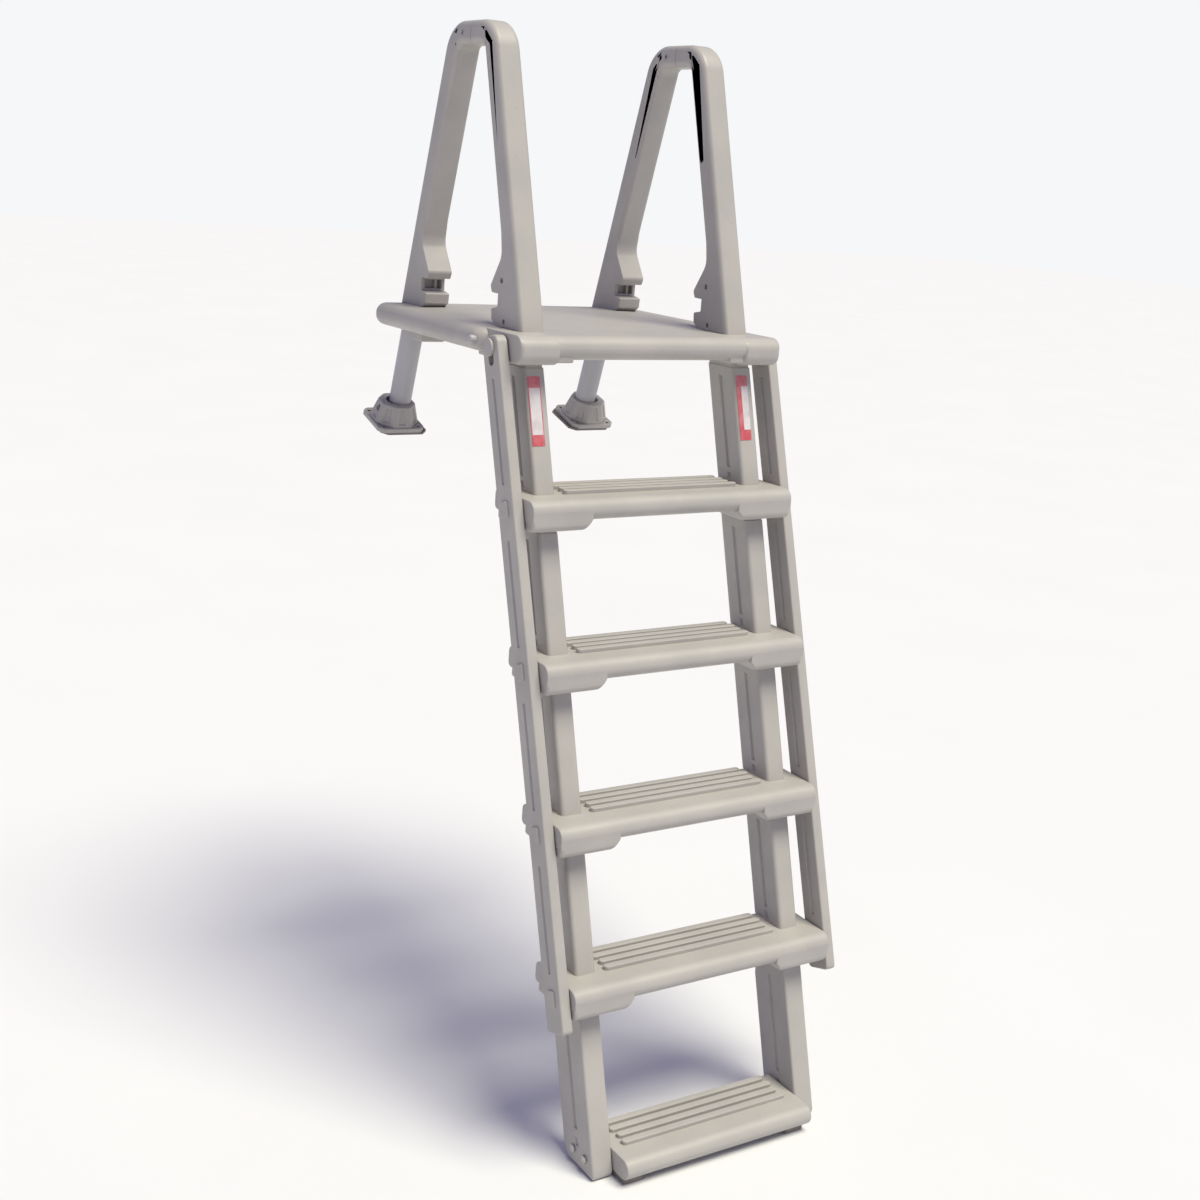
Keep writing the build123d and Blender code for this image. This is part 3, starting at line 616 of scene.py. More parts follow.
# ---------------------------------------------------------------- pieces
class LADDER_OT_handrails(bpy.types.Operator):
    """Model the two halves of each A-frame handrail, with hooks, notches and screw holes"""

    bl_idname = "ladder.handrails"
    bl_label = "Handrails"

    height, bar, half_width = 536, 39, 24
    top_y = 245

    def half(self, name, rear):
        """One half at X 0: a leg with its hook, and half of the top bar."""

        def spot(y, z):
            return at(2 * self.top_y - y if rear else y, z)

        shape = bpy.context.scene.ladder_shape
        inner = 42 / math.cos(SLANT)
        under = self.height - self.bar
        sections = [
            (spot(40 * LEAN, 40), spot(104, 40)),
            (spot(50 * LEAN, 50), spot(118, 50)),
            (spot(68 * LEAN, 68), spot(120, 68)),
            (spot(73 * LEAN, 73), spot(99, 72)),
            (spot(92 * LEAN, 92), spot(99, 94)),
            (spot(95 * LEAN, 95), spot(121, 94.5)),
            (spot(106 * LEAN, 106), spot(127, 106)),
            (spot(158 * LEAN, 158), spot(158 * LEAN + inner, 158)),
            (spot(self.height * LEAN, self.height), spot(under * LEAN + inner, under)),
            (spot(self.top_y - 0.2, self.height), spot(self.top_y - 0.2, under)),
        ]
        width = self.half_width * mm
        piece = bar_of_sections(name, -width, width, sections)
        edit(piece)
        outer_top = spot(self.height * LEAN, self.height)
        inner_top = spot(under * LEAN + inner, under)
        pick("EDGE", lambda e: runs_along(e, (1, 0, 0)) and (middle_of(e) - outer_top).length < 1 * mm)
        round_edges(44 * mm, 10)
        pick("EDGE", lambda e: runs_along(e, (1, 0, 0)) and (middle_of(e) - inner_top).length < 1 * mm)
        round_edges(17 * mm, 6)
        for corner, size in ((spot(127, 106), 4), (spot(158 * LEAN + inner, 158), 12), (spot(120, 68), 3)):
            pick("EDGE", lambda e: runs_along(e, (1, 0, 0)) and (middle_of(e) - corner).length < 1 * mm)
            round_edges(size * mm, 4)
        leave()
        self.soften(piece, shape.rail_round, rear)
        return piece

    def soften(self, piece, size, rear):
        """Round the long corners: fully on the legs and bar, less round the hook and the notch."""
        edit(piece)
        bpy.ops.mesh.select_all(action="SELECT")
        bpy.ops.mesh.dissolve_limited(angle_limit=math.radians(1))
        hook_top = PLATFORM_Z + 172 * mm
        cut((0, 0, hook_top), (0, 0, 1))
        shape = bmesh.from_edit_mesh(piece.data)
        weight = shape.edges.layers.float.get("bevel_weight_edge")
        if weight is None:
            weight = shape.edges.layers.float.new("bevel_weight_edge")
        for edge in shape.edges:
            sides = [f for f in edge.link_faces if abs(f.normal.x) > 0.99]
            rims = [f for f in edge.link_faces if abs(f.normal.x) < 0.01]
            if len(sides) != 1 or len(rims) != 1:
                continue
            normal = rims[0].normal
            outward = normal.y * (1 if rear else -1)
            at_end = near(middle_of(edge).y, at(self.top_y, 0).y, 1 * mm)
            at_base = near(middle_of(edge).z, PLATFORM_Z + 40 * mm, 0.5 * mm)
            if at_end or at_base:
                edge[weight] = 0.06
            elif middle_of(edge).z > hook_top or outward > 0.9:
                edge[weight] = 1.0
            else:
                edge[weight] = 0.12
        bmesh.update_edit_mesh(piece.data)
        leave()
        rounding = piece.modifiers.new("corner rounding", "BEVEL")
        rounding.limit_method = "WEIGHT"
        rounding.width = size
        rounding.segments = 5
        rounding.use_clamp_overlap = False
        bpy.ops.object.modifier_apply(modifier=rounding.name)
        edit(piece)
        bpy.ops.mesh.select_all(action="SELECT")
        bpy.ops.mesh.remove_doubles(threshold=0.02 * mm)
        bpy.ops.mesh.dissolve_degenerate(threshold=0.02 * mm)
        bpy.ops.mesh.normals_make_consistent(inside=False)
        leave()

    def details(self, piece, rear):
        """Cut the pocket in the notch, the screw holes and the eyelets."""

        def spot(y, z):
            return at(2 * self.top_y - y if rear else y, z)

        wall = spot(99, 83)
        into = 1 if rear else -1
        start, end = sorted((wall.y - into * 2 * mm, wall.y + into * 12 * mm))
        pocket = block("pocket", (-17 * mm, start, wall.z - 8 * mm), (17 * mm, end, wall.z + 8 * mm))
        combine(piece, pocket, "DIFFERENCE", folded=True)
        start, end = sorted((wall.y + into * 3 * mm, wall.y + into * 12.5 * mm))
        divider = block("divider", (5 * mm, start, wall.z - 8.5 * mm), (8.5 * mm, end, wall.z + 8.5 * mm))
        combine(piece, divider, "UNION", folded=True)
        edge = self.half_width * mm
        for side in (-1, 1):
            start = Vector((side * (edge + 1 * mm), 0, 0))
            holes = [(at(275, self.height - self.bar / 2), 5, 5)] if rear else []
            holes += [] if rear else [(spot(88, 117), 5, 6), (spot(74, 50), 4.5, 6)]
            for point, radius, depth in holes:
                hole = peg("hole", start + point, (-side, 0, 0), radius * mm, depth * mm)
                combine(piece, hole, "DIFFERENCE", folded=True)

    def execute(self, context):
        for rear, part in ((False, "handrail_front_"), (True, "handrail_rear_")):
            model = self.half(part + "model", rear)
            self.details(model, rear)
            for side_name, side in SIDES:
                piece = copy_piece(model, part + side_name + "_shell", (side * HANDRAIL_X, 0, 0))
                smooth(piece)
                place(piece, "ladder", shell_finish(), "shell", part + side_name)
            bpy.data.objects.remove(model)
        return {"FINISHED"}


class LADDER_OT_platform(bpy.types.Operator):
    """Model the platform with its tube-like rim, front bar, end blocks and rear sockets"""

    bl_idname = "ladder.platform"
    bl_label = "Platform"

    def deck(self):
        crown = bpy.context.scene.ladder_shape.deck_crown
        deck = block("platform_shell", at(64, 0) - Vector((286 * mm, 0, 0)), at(492, 40) + Vector((286 * mm, 0, 0)))
        edit(deck)
        pick("EDGE", lambda e: runs_along(e, (0, 0, 1)))
        round_edges(30 * mm, 8)
        pick("EDGE", lambda e: near(e.verts[0].co.z, e.verts[1].co.z) and len(e.link_faces) == 2)
        round_edges(18 * mm, 8)
        top = at(0, 40).z
        for margin in (50, 90, 140):
            for side in (-1, 1):
                cut((side * (286 - margin) * mm, 0, 0), (1, 0, 0))
            cut(at(64 + margin, 0), (0, 1, 0))
            cut(at(492 - margin, 0), (0, 1, 0))
        for margin, share in ((50, 0.45), (90, 0.35), (140, 0.2)):
            reach = (286 - margin + 1) * mm
            front, back = at(64 + margin - 1, 0).y, at(492 - margin + 1, 0).y
            pick("VERT", lambda v: v.co.z > top - 1 * mm and abs(v.co.x) < reach and front < v.co.y < back)
            move((0, 0, crown * share))
        leave()
        return deck

    def front_bar(self):
        bar = block("front_bar", at(-45, 0) - Vector((264 * mm, 0, 0)), at(115, 40) + Vector((264 * mm, 0, 0)))
        edit(bar)
        front = at(-45, 0).y
        pick("EDGE", lambda e: runs_along(e, (1, 0, 0)) and near(middle_of(e).y, front))
        round_edges(19.9 * mm, 8)
        pick("EDGE", lambda e: any(abs(f.normal.x) > 0.99 for f in e.link_faces))
        round_edges(5 * mm, 3)
        leave()
        return bar

    def end_block(self, side):
        """Thicker block round the upright's socket, with a step on its inner side."""
        inner, outer = sorted((side * 189 * mm, side * 263.9 * mm))
        low, high = at(-47.5, -8), at(104, 37.5)
        body = block("end_block", (inner, low.y, low.z), (outer, high.y, high.z))
        edit(body)
        pick("EDGE", lambda e: runs_along(e, (1, 0, 0)) and near(middle_of(e).y, low.y))
        round_edges(18 * mm, 8)
        pick("EDGE", lambda e: any(abs(f.normal.x) > 0.99 for f in e.link_faces))
        round_edges(6 * mm, 4)
        leave()
        low, high = at(-40, -4), at(96, 10)
        ends = sorted((side * 160 * mm, side * 200 * mm))
        step = block("step", (ends[0], low.y, low.z), (ends[1], high.y, high.z))
        edit(step)
        bpy.ops.mesh.select_all(action="SELECT")
        round_edges(3 * mm, 3)
        leave()
        combine(body, step, "UNION")
        return body

    def rear_socket(self, side):
        low, high = at(379, -22), at(425, 6)
        centre = side * HANDRAIL_X
        socket = block("rear_socket", (centre - 24 * mm, low.y, low.z), (centre + 24 * mm, high.y, high.z))
        edit(socket)
        pick("EDGE", lambda e: runs_along(e, (0, 0, 1)) or near(middle_of(e).z, low.z))
        round_edges(3.5 * mm, 3)
        leave()
        return socket

    def execute(self, context):
        deck = self.deck()
        combine(deck, self.front_bar(), "UNION")
        for _, side in SIDES:
            combine(deck, self.end_block(side), "UNION")
            combine(deck, self.rear_socket(side), "UNION")
            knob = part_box("lock_knob_" + ("left" if side < 0 else "right"))
            middle = (knob[0] + knob[1]) / 2
            hole = peg("knob_hole", (side * 290 * mm, middle.y, middle.z), (-side, 0, 0), 7.4 * mm, 26 * mm)
            combine(deck, hole, "DIFFERENCE")
            post = bpy.context.scene.objects["deck_post_left" if side < 0 else "deck_post_right"]
            spots = [v.co for v in post.data.vertices]
            low_end = min(spots, key=lambda p: p.z)
            axis = Vector((0, -math.sin(SLANT), math.cos(SLANT)))
            centre = sum(spots, Vector()) / len(spots)
            bore = peg("post_bore", centre - axis * 0.3, axis, 21.4 * mm, 0.6, 64)
            combine(deck, bore, "DIFFERENCE")
        smooth(deck)
        place(deck, "ladder", shell_finish(), "shell", "platform")
        return {"FINISHED"}


class LADDER_OT_treads(bpy.types.Operator):
    """Model the four treads: a bullnosed board with ribs on top and a deep block at each end"""

    bl_idname = "ladder.treads"
    bl_label = "Treads"

    @staticmethod
    def board(name, half_length, nose, low, end_round):
        depth = 132 * mm
        board = block(name, (-half_length, nose, low), (half_length, nose + depth, low + TREAD_THICKNESS))
        edit(board)
        pick("EDGE", lambda e: runs_along(e, (1, 0, 0)) and near(middle_of(e).y, nose))
        round_edges(17.9 * mm, 8)
        pick("EDGE", lambda e: runs_along(e, (1, 0, 0)) and near(middle_of(e).y, nose + depth))
        round_edges(9 * mm, 5)
        pick("EDGE", lambda e: any(abs(f.normal.x) > 0.99 for f in e.link_faces))
        round_edges(end_round, 4)
        leave()
        return board

    @staticmethod
    def add_ribs(board, half_length, front, low):
        """Four slip ribs with rounded ends; every other one is a little shorter."""
        top = low + TREAD_THICKNESS
        for number in range(4):
            middle = front + number * 20 * mm
            reach = half_length - (3 * number % 2) * mm * 3
            rib = block("rib", (-reach, middle - 6.5 * mm, top - 2 * mm), (reach, middle + 6.5 * mm, top + RIB_HEIGHT))
            edit(rib)
            pick("EDGE", lambda e: runs_along(e, (0, 0, 1)))
            round_edges(6.4 * mm, 6)
            pick("EDGE", lambda e: near(e.verts[0].co.z, top + RIB_HEIGHT) and near(e.verts[1].co.z, top + RIB_HEIGHT))
            round_edges(4 * mm, 4)
            leave()
            combine(board, rib, "UNION")

    @staticmethod
    def add_end_block(board, side, nose, low):
        """Block under a tread's end: flush with the nose, with a sloped inner end."""
        bottom, top = low - END_BLOCK_DROP, low + 18 * mm
        inner, outer = side * 150 * mm, side * 264.4 * mm
        front, back = nose + 0.15 * mm, nose + 122 * mm
        body = block("end_block", (min(inner, outer), front, bottom), (max(inner, outer), back, top))
        edit(body)
        slope = 12 * mm
        cut((0, 0, low), (0, 0, 1))
        pick("VERT", lambda v: near(v.co.x, inner) and near(v.co.z, bottom))
        move((side * slope, 0, 0))
        pick("EDGE", lambda e: near(middle_of(e).z, bottom) and near(middle_of(e).y, front))
        round_edges(12 * mm, 7)
        pick("EDGE", lambda e: near(middle_of(e).z, bottom) and near(middle_of(e).y, back))
        round_edges(6 * mm, 4)
        pick(
            "EDGE",
            lambda e: max(v.co.z for v in e.verts) < top - 1 * mm
            and any(f.normal.x * side > 0.99 for f in e.link_faces)
            and any(f.normal.x * side < 0.5 for f in e.link_faces),
        )
        round_edges(6 * mm, 4)
        pick(
            "EDGE",
            lambda e: max(v.co.z for v in e.verts) < low + 1 * mm
            and any(f.normal.x * side < -0.5 for f in e.link_faces)
            and any(f.normal.x * side > -0.5 for f in e.link_faces),
        )
        round_edges(4 * mm, 3)
        leave()
        combine(board, body, "UNION")

    def execute(self, context):
        low = level_z(1)
        nose = face_y(low) - TREAD_NOSE
        board = self.board("tread_model", 265 * mm, nose, low, context.scene.ladder_shape.tread_end_round)
        self.add_ribs(board, 178 * mm, face_y(low) + 14 * mm, low)
        for _, side in SIDES:
            self.add_end_block(board, side, nose, low)
        smooth(board)
        for level in range(1, TREADS + 1):
            drop = (level - 1) * RISE
            tread = copy_piece(board, f"tread_{level}_shell", (0, -drop * LEAN, -drop))
            place(tread, "ladder", shell_finish(), "shell", f"tread_{level}")
        bpy.data.objects.remove(board)
        return {"FINISHED"}


class LADDER_OT_bottom_step(bpy.types.Operator):
    """Model the short step that joins the lower legs near the floor"""

    bl_idname = "ladder.bottom_step"
    bl_label = "Bottom step"

    def execute(self, context):
        low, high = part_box("bottom_step")
        step = LADDER_OT_treads.board("bottom_step_shell", high.x, low.y, low.z, 7 * mm)
        LADDER_OT_treads.add_ribs(step, high.x - 22 * mm, low.y + TREAD_NOSE + 14 * mm, low.z)
        smooth(step)
        place(step, "ladder", shell_finish(), "shell", "bottom_step")
        return {"FINISHED"}


class LADDER_OT_uprights(bpy.types.Operator):
    """Model the upright segments between the treads, with side grooves and a neck at the top"""

    bl_idname = "ladder.uprights"
    bl_label = "Uprights"

    depth, half_width, neck = 80 * mm, 20 * mm, 9 * mm

    def segment(self, name, low, high):
        shape = bpy.context.scene.ladder_shape
        depth, half_width, neck = self.depth, self.half_width, self.neck

        def section(z):
            return (Vector((0, face_y(z), z)), Vector((0, face_y(z) + depth, z)))

        body = bar_of_sections(name, -half_width, half_width, [section(low), section(high - neck)])
        edit(body)
        pick("EDGE", lambda e: runs_along(e, (0, LEAN, 1)))
        round_edges(shape.upright_round, 5)
        pick("FACE", lambda f: f.normal.z > 0.99)
        middle = Vector((0, face_y(high - neck) + depth / 2, high - neck))
        extrude((0, 0, 0))
        bpy.ops.transform.resize(value=(0.93, 0.965, 1), center_override=middle)
        move((0, 0.8 * mm * LEAN, 0.8 * mm))
        extrude((0, (neck - 0.8 * mm) * LEAN, neck - 0.8 * mm))
        across = (0, math.cos(SLANT), -math.sin(SLANT))
        strip_low, strip_high = low + 24 * mm, high - neck - 16 * mm
        for offset in (-5.5, 5.5):
            cut((0, face_y(low) + depth / 2 + offset * mm, low), across)
        for height in (low + 5 * mm, low + 17 * mm, strip_low, strip_high):
            cut((0, 0, height), (0, 0, 1))

        def in_strip(face, side, bottom, top):
            centre = face.calc_center_median()
            from_middle = centre.y - face_y(centre.z) - depth / 2
            return face.normal.x * side > 0.99 and abs(from_middle) < 6 * mm and bottom < centre.z < top

        for _, side in SIDES:
            for bottom, top, deep in ((strip_low, strip_high, shape.groove_depth), (low + 5 * mm, low + 17 * mm, 3 * mm)):
                pick("FACE", lambda f: in_strip(f, side, bottom, top))
                bpy.ops.mesh.inset(thickness=2.6 * mm, depth=-deep)
        leave()
        return body

    def execute(self, context):
        for first, last in ((1, 1), (2, TREADS)):
            low = level_z(first) + TREAD_THICKNESS
            high = level_z(first - 1) - (END_BLOCK_DROP if first > 1 else 8 * mm)
            model = self.segment("upright_model", low, high)
            smooth(model)
            for level in range(first, last + 1):
                drop = (level - first) * RISE
                for side_name, side in SIDES:
                    name = f"upright_{level}_{side_name}"
                    piece = copy_piece(model, name + "_shell", (side * UPRIGHT_X, -drop * LEAN, -drop))
                    place(piece, "ladder", shell_finish(), "shell", name)
            bpy.data.objects.remove(model)
        return {"FINISHED"}


class LADDER_OT_lower_legs(bpy.types.Operator):
    """Model the deep lower legs that reach the pool floor"""

    bl_idname = "ladder.lower_legs"
    bl_label = "Lower legs"

    def execute(self, context):
        half_width, depth, deep = 20 * mm, 80 * mm, 94 * mm
        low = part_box("lower_leg_left")[0].z
        top = level_z(TREADS) - END_BLOCK_DROP

        def section(z, front, back):
            return (Vector((0, face_y(z) + front, z)), Vector((0, face_y(z) + back, z)))

        sections = [
            section(low, 5 * mm, deep - 14 * mm),
            section(low + 8 * mm, 0, deep - 4 * mm),
            section(low + 20 * mm, 0, deep),
            section(top - 60 * mm, 0, deep),
            section(top - 9 * mm, 0, depth + 1 * mm),
        ]
        model = bar_of_sections("lower_leg_model", -half_width, half_width, sections)
        edit(model)
        pick("EDGE", lambda e: abs(sum(f.normal.x for f in e.link_faces)) > 0.9 and middle_of(e).z < top - 10 * mm)
        round_edges(6.5 * mm, 5)
        pick("FACE", lambda f: f.normal.z > 0.99)
        centre = Vector((0, face_y(top - 9 * mm) + depth / 2, top - 9 * mm))
        extrude((0, 0, 0))
        bpy.ops.transform.resize(value=(0.93, 0.965, 1), center_override=centre)
        extrude((0, 9 * mm * LEAN, 9 * mm))
        across = (0, math.cos(SLANT), -math.sin(SLANT))
        for offset in (-5.5, 5.5):
            cut((0, face_y(low) + deep / 2 + offset * mm, low), across)
        strip_low, strip_high = low + 62 * mm, top - 44 * mm
        window_low, window_high = low + 34 * mm, low + 48 * mm
        for height in (window_low, window_high, strip_low, strip_high):
            cut((0, 0, height), (0, 0, 1))
        for _, side in SIDES:
            for bottom, height, cut_depth in ((strip_low, strip_high, 3.5 * mm), (window_low, window_high, 3 * mm)):
                pick(
                    "FACE",
                    lambda f: f.normal.x * side > 0.99
                    and bottom < f.calc_center_median().z < height
                    and abs(f.calc_center_median().y - face_y(f.calc_center_median().z) - deep / 2) < 6 * mm,
                )
                bpy.ops.mesh.inset(thickness=2.6 * mm, depth=-cut_depth)
        leave()
        smooth(model)
        for side_name, side in SIDES:
            name = "lower_leg_" + side_name
            piece = copy_piece(model, name + "_shell", (side * UPRIGHT_X, 0, 0))
            place(piece, "ladder", shell_finish(), "shell", name)
        bpy.data.objects.remove(model)
        return {"FINISHED"}


class LADDER_OT_outer_rails(bpy.types.Operator):
    """Model the outer rails with grooves, square bosses and a slot for every stud"""

    bl_idname = "ladder.outer_rails"
    bl_label = "Outer rails"

    lift, half, above, below = 22 * mm, 26 * mm, 19 * mm, 1127 * mm

    def rail(self, name, x_low, x_high):
        """A square-ended bar, rounded at its corners, with a groove between each pair of studs."""
        up = Vector((0, math.sin(RAIL_SLANT), math.cos(RAIL_SLANT)))
        back = Vector((0, math.cos(RAIL_SLANT), -math.sin(RAIL_SLANT)))
        stud = stud_point(0)
        ends = [stud + up * along for along in (-self.below, self.above)]
        sections = [(end - back * self.half, end + back * self.half) for end in ends]
        rail = bar_of_sections(name, x_low, x_high, sections)
        edit(rail)
        for end, offset, size in ((1, -1, 16), (1, 1, 21), (0, -1, 8), (0, 1, 8)):
            corner = ends[end] + back * self.half * offset
            pick(
                "EDGE",
                lambda e: runs_along(e, (1, 0, 0)) and (middle_of(e) - corner).yz.length < 1 * mm,
            )
            round_edges(size * mm, 8)
        pick("EDGE", lambda e: sum(abs(f.normal.x) > 0.99 for f in e.link_faces) == 1)
        round_edges(3 * mm, 3)
        spans = []
        for level in range(1, TREADS + 1):
            lower, upper = stud_point(level), stud_point(level - 1)
            spans.append((lower + up * 40 * mm, upper - up * 50 * mm))
        for offset in (-4.5 * mm, 4.5 * mm):
            cut(stud + back * offset, back)
        for bottom, top in spans:
            cut(bottom, up)
            cut(top, up)
        depth_in = bpy.context.scene.ladder_shape.groove_depth * 0.85
        for _, side in SIDES:
            for bottom, top in spans:
                pick(
                    "FACE",
                    lambda f: f.normal.x * side > 0.99
                    and (f.calc_center_median() - bottom).dot(up) > 0
                    and (top - f.calc_center_median()).dot(up) > 0
                    and abs((f.calc_center_median() - stud).dot(back)) < 4.6 * mm,
                )
                bpy.ops.mesh.inset(thickness=2.4 * mm, depth=-depth_in)
        leave()
        return rail

    def add_bosses(self, rail, x_high):
        """A square pad on the outer face over each tread stud."""
        for level in range(1, TREADS + 1):
            boss = block("boss", (x_high - 2 * mm, -10 * mm, -14 * mm), (x_high + 4 * mm, 10 * mm, 14 * mm))
            edit(boss)
            pick("EDGE", lambda e: runs_along(e, (1, 0, 0)))
            round_edges(3 * mm, 3)
            pick("EDGE", lambda e: near(e.verts[0].co.x, x_high + 4 * mm) and near(e.verts[1].co.x, x_high + 4 * mm))
            round_edges(1.6 * mm, 3)
            leave()
            boss.rotation_euler.x = -RAIL_SLANT
            boss.location = stud_point(level)
            take(boss)
            apply_place()
            combine(rail, boss, "UNION")

    def cut_slots(self, rail, x_low, x_high):
        """A slot below each stud, right through at the platform and blind at the treads."""
        for level in range(TREADS + 1):
            radius = (8.4 if level == 0 else 6.4) * mm
            reach = self.lift / 2
            middle = stud_point(level) - Vector((0, math.sin(RAIL_SLANT), math.cos(RAIL_SLANT))) * reach
            far = x_high + 1 * mm if level == 0 else x_high - 6 * mm
            slot = block("slot", (x_low - 1 * mm, -radius, -reach - radius), (far, radius, reach + radius))
            edit(slot)
            pick("EDGE", lambda e: runs_along(e, (1, 0, 0)))
            round_edges(radius * 0.999, 8)
            leave()
            slot.rotation_euler.x = -RAIL_SLANT
            slot.location = middle
            take(slot)
            apply_place()
            combine(rail, slot, "DIFFERENCE")

    def execute(self, context):
        x_low, x_high = 266 * mm, 286 * mm
        model = self.rail("outer_rail_model", x_low, x_high)
        self.add_bosses(model, x_high)
        self.cut_slots(model, x_low, x_high)
        for side_name, side in SIDES:
            name = "outer_rail_" + side_name
            piece = copy_piece(model, name + "_shell", mirrored=side < 0)
            smooth(piece)
            place(piece, name, shell_finish(), "shell", name)
        bpy.data.objects.remove(model)
        return {"FINISHED"}


class LADDER_OT_deck_feet(bpy.types.Operator):
    """Model the fluted eight-sided cups of the deck feet on their cut-cornered plates"""

    bl_idname = "ladder.deck_feet"
    bl_label = "Deck feet"

    cup_height, plate, plate_thickness = 38 * mm, 48 * mm, 8 * mm

    def cup(self):
        shape = bpy.context.scene.ladder_shape
        clear_selection()
        bpy.ops.mesh.primitive_cylinder_add(
            vertices=8, radius=48 * mm, depth=self.cup_height, location=(0, 0, self.cup_height / 2),
            rotation=(0, 0, math.radians(22.5)),
        )
        cup = named("deck_foot_model")
        edit(cup)
        pick("FACE", lambda f: f.normal.z > 0.99)
        bpy.ops.transform.resize(value=(0.75, 0.75, 1), center_override=(0, 0, self.cup_height))
        pick("EDGE", lambda e: abs((e.verts[0].co - e.verts[1].co).z) > 10 * mm)
        round_edges(4 * mm, 3)
        pick("FACE", lambda f: abs(f.normal.z) < 0.6 and f.calc_area() > 0.0006)
        bpy.ops.mesh.inset(thickness=5 * mm, depth=0, use_individual=True)
        bpy.ops.mesh.inset(thickness=2.5 * mm, depth=-shape.flute_depth, use_individual=True)
        pick("EDGE", lambda e: near(e.verts[0].co.z, self.cup_height) and near(e.verts[1].co.z, self.cup_height))
        round_edges(2 * mm, 3)
        leave()
        return cup

    def base(self):
        size = self.plate
        base = block("base", (-size, -size, -self.plate_thickness), (size, size, 0.5 * mm))
        edit(base)
        pick("EDGE", lambda e: runs_along(e, (0, 0, 1)))
        bpy.ops.mesh.bevel(offset=12 * mm, segments=3, profile=0.35, affect="EDGES")
        pick("FACE", lambda f: f.normal.z > 0.99)
        bpy.ops.mesh.inset(thickness=4 * mm, depth=0)
        bpy.ops.mesh.inset(thickness=2 * mm, depth=-1.5 * mm)
        pick("EDGE", lambda e: near(middle_of(e).z, 0.5 * mm) and any(abs(f.normal.z) < 0.1 for f in e.link_faces))
        round_edges(1.8 * mm, 3)
        leave()
        return base

    def execute(self, context):
        foot = self.cup()
        combine(foot, self.base(), "UNION")
        for number in range(4):
            angle = math.radians(45 + 90 * number)
            spot = Vector((math.cos(angle), math.sin(angle), 0)) * 51 * mm
            hole = peg("screw_hole", spot + Vector((0, 0, -20 * mm)), (0, 0, 1), 3.5 * mm, 60 * mm)
            combine(foot, hole, "DIFFERENCE")
        bore = peg("pipe_bore", (0, 0, self.cup_height / 2), (0, 0, 1), 21.1 * mm, 40 * mm, 64)
        combine(foot, bore, "DIFFERENCE")
        for side_name, side in SIDES:
            name = "deck_foot_" + side_name
            post = frame["nodes"]["deck_post_" + side_name]
            axis = Vector((0, -math.sin(SLANT), math.cos(SLANT)))
            spots = [v.co for v in post.data.vertices]
            post_end = min(p.dot(axis) for p in spots)
            middle = sum(spots, Vector()) / len(spots)
            end = middle + axis * (post_end - middle.dot(axis))
            piece = copy_piece(foot, name + "_shell")
            piece.rotation_euler.x = SLANT
            piece.location = end - axis * self.cup_height / 2
            take(piece)
            apply_place()
            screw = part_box("foot_screw_" + side_name)
            centre = (screw[0] + screw[1]) / 2
            hole = peg("side_hole", (side * (HANDRAIL_X + 35 * mm), centre.y, centre.z), (side, 0, 0), 6 * mm, 30 * mm)
            combine(piece, hole, "DIFFERENCE")
            smooth(piece)
            place(piece, "deck_post_" + side_name, shell_finish(), "shell", name)
        bpy.data.objects.remove(foot)
        return {"FINISHED"}


class LADDER_OT_fittings(bpy.types.Operator):
    """Give the posts, studs, knobs, screws, soles and stickers their finishes"""

    bl_idname = "ladder.fittings"
    bl_label = "Fittings"

    def execute(self, context):
        finishes = {
            "deck_post": pipe_finish(),
            "foot_pad": sole_finish(),
            "foot_screw": steel_finish(),
            "handrail_screw": steel_finish(),
            "step_bolts": steel_finish(),
            "step_pad": sole_finish(),
            "lock_knob": pipe_finish(),
            "sticker": sticker_finish(),
        }
        for name, node in frame["nodes"].items():
            finish = shell_finish()
            for start, other in finishes.items():
                if name.startswith(start):
                    finish = other
            for slot in node.material_slots:
                slot.material = finish
        return {"FINISHED"}


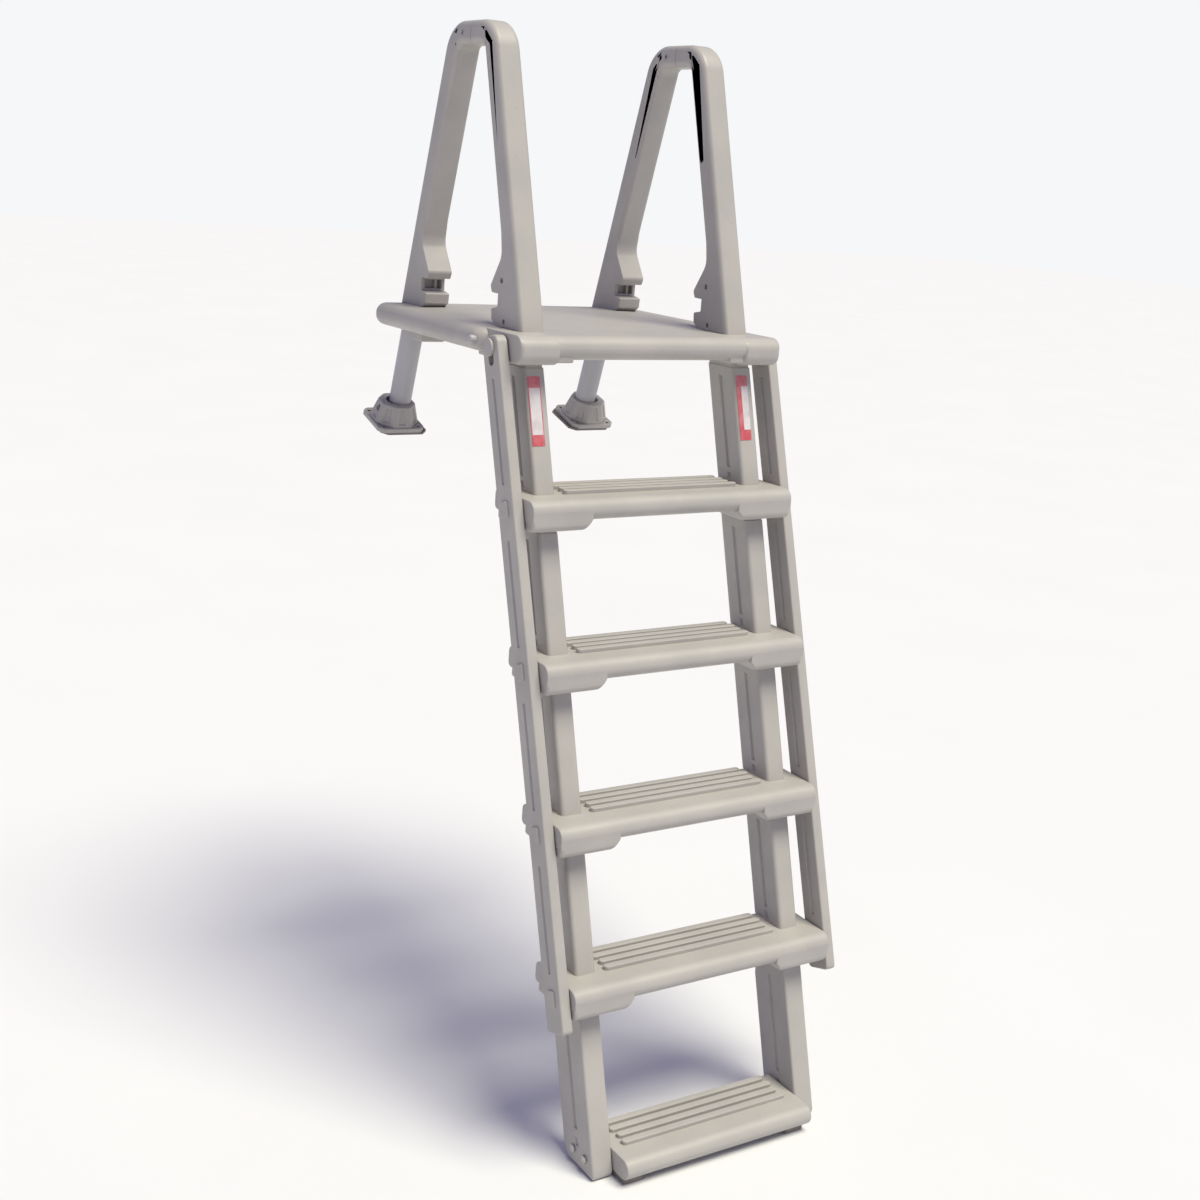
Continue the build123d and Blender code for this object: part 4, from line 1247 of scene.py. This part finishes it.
class LADDER_OT_studio(bpy.types.Operator):
    """Set up the pale floor, the soft lights, the sky and the camera"""

    bl_idname = "ladder.studio"
    bl_label = "Studio"

    def floor(self, studio):
        clear_selection()
        height = cad_bounds[0].z
        bpy.ops.mesh.primitive_plane_add(size=1, location=(0, 0, height), scale=(1, 1, 1))
        floor = bpy.context.active_object
        floor.name = "studio_floor"
        floor.scale = (60, 60, 1)
        apply_place()
        finish, tree, shader, where = new_material("studio floor")
        shade = mask_node(tree, noise_node(tree, where, 1.4, 3.0), 0.2, 0.8)
        paler = [min(1.0, value * 1.02) for value in studio.floor]
        tree.links.new(mix_node(tree, shade, (*studio.floor, 1), (*paler, 1)), shader.inputs["Base Color"])
        shader.inputs["Roughness"].default_value = 0.85
        floor.data.materials.append(finish)

    def sun(self, name, towards, strength, softness, colour):
        clear_selection()
        bpy.ops.object.light_add(type="SUN", location=Vector(towards) * 4)
        lamp = bpy.context.active_object
        lamp.name = name
        lamp.data.energy = strength
        lamp.data.angle = softness
        lamp.data.color = colour
        lamp.rotation_euler = Vector(towards).to_track_quat("Z", "Y").to_euler()

    def sky(self, studio):
        """Even light all round, and a pale backdrop behind the floor's edge."""
        world = bpy.data.worlds.new("studio sky")
        world.use_nodes = True
        tree = world.node_tree
        light = tree.nodes["Background"]
        light.inputs["Color"].default_value = (*studio.sky_colour, 1)
        light.inputs["Strength"].default_value = studio.sky_strength
        backdrop = tree.nodes.new("ShaderNodeBackground")
        backdrop.inputs["Color"].default_value = (*studio.backdrop, 1)
        rays = tree.nodes.new("ShaderNodeLightPath")
        mix = tree.nodes.new("ShaderNodeMixShader")
        tree.links.new(rays.outputs["Is Camera Ray"], mix.inputs["Fac"])
        tree.links.new(light.outputs["Background"], mix.inputs[1])
        tree.links.new(backdrop.outputs["Background"], mix.inputs[2])
        tree.links.new(mix.outputs["Shader"], tree.nodes["World Output"].inputs["Surface"])
        bpy.context.scene.world = world

    def camera(self, studio):
        clear_selection()
        yaw, pitch, roll = (math.radians(angle) for angle in (32.999, 14.786, -4.305))
        bpy.ops.object.camera_add(location=(-1.5687, -2.4081, 1.6189))
        camera = bpy.context.active_object
        camera.name = "studio_camera"
        ahead = Vector((math.sin(yaw) * math.cos(pitch), math.cos(yaw) * math.cos(pitch), -math.sin(pitch)))
        level = Vector((math.cos(yaw), -math.sin(yaw), 0))
        down = ahead.cross(level)
        across = level * math.cos(roll) + down * math.sin(roll)
        up = level * math.sin(roll) - down * math.cos(roll)
        turn = Matrix((across, up, -ahead)).transposed()
        camera.rotation_euler = turn.to_euler()
        camera.data.lens = studio.lens
        camera.data.sensor_width = 36
        camera.data.clip_end = 200
        bpy.context.scene.camera = camera

    def execute(self, context):
        studio = context.scene.ladder_studio
        self.floor(studio)
        self.sun("key_lamp", (0.16, -0.36, 0.92), studio.key_strength, studio.key_softness, studio.key_colour)
        self.sky(studio)
        context.scene.view_settings.view_transform = "Standard"
        self.camera(studio)
        return {"FINISHED"}


class LADDER_PT_panel(bpy.types.Panel):
    """Sizes, finishes and steps of the ladder"""

    bl_idname = "LADDER_PT_panel"
    bl_label = "Pool Ladder"
    bl_space_type = "VIEW_3D"
    bl_region_type = "UI"
    bl_category = "Ladder"

    def draw(self, context):
        layout = self.layout
        for title, group in (
            ("Shape", context.scene.ladder_shape),
            ("Finish", context.scene.ladder_finish),
            ("Studio", context.scene.ladder_studio),
        ):
            box = layout.box()
            box.label(text=title)
            for name in group.__class__.__annotations__:
                box.prop(group, name)
        steps = layout.box()
        steps.label(text="Build")
        for step in STEPS:
            steps.operator(step.bl_idname)


STEPS = (
    LADDER_OT_studio,
    LADDER_OT_handrails,
    LADDER_OT_platform,
    LADDER_OT_treads,
    LADDER_OT_bottom_step,
    LADDER_OT_uprights,
    LADDER_OT_lower_legs,
    LADDER_OT_outer_rails,
    LADDER_OT_deck_feet,
    LADDER_OT_fittings,
)
CLASSES = (LadderShape, LadderFinish, LadderStudio, *STEPS, LADDER_PT_panel)


def register():
    for cls in CLASSES:
        bpy.utils.register_class(cls)
    bpy.types.Scene.ladder_shape = bpy.props.PointerProperty(type=LadderShape)
    bpy.types.Scene.ladder_finish = bpy.props.PointerProperty(type=LadderFinish)
    bpy.types.Scene.ladder_studio = bpy.props.PointerProperty(type=LadderStudio)


def unregister():
    del bpy.types.Scene.ladder_studio
    del bpy.types.Scene.ladder_finish
    del bpy.types.Scene.ladder_shape
    for cls in reversed(CLASSES):
        bpy.utils.unregister_class(cls)


def main():
    register()
    bpy.ops.ladder.studio()
    bpy.ops.ladder.handrails()
    bpy.ops.ladder.platform()
    bpy.ops.ladder.treads()
    bpy.ops.ladder.bottom_step()
    bpy.ops.ladder.uprights()
    bpy.ops.ladder.lower_legs()
    bpy.ops.ladder.outer_rails()
    bpy.ops.ladder.deck_feet()
    bpy.ops.ladder.fittings()


if __name__ == "__main__":
    main()
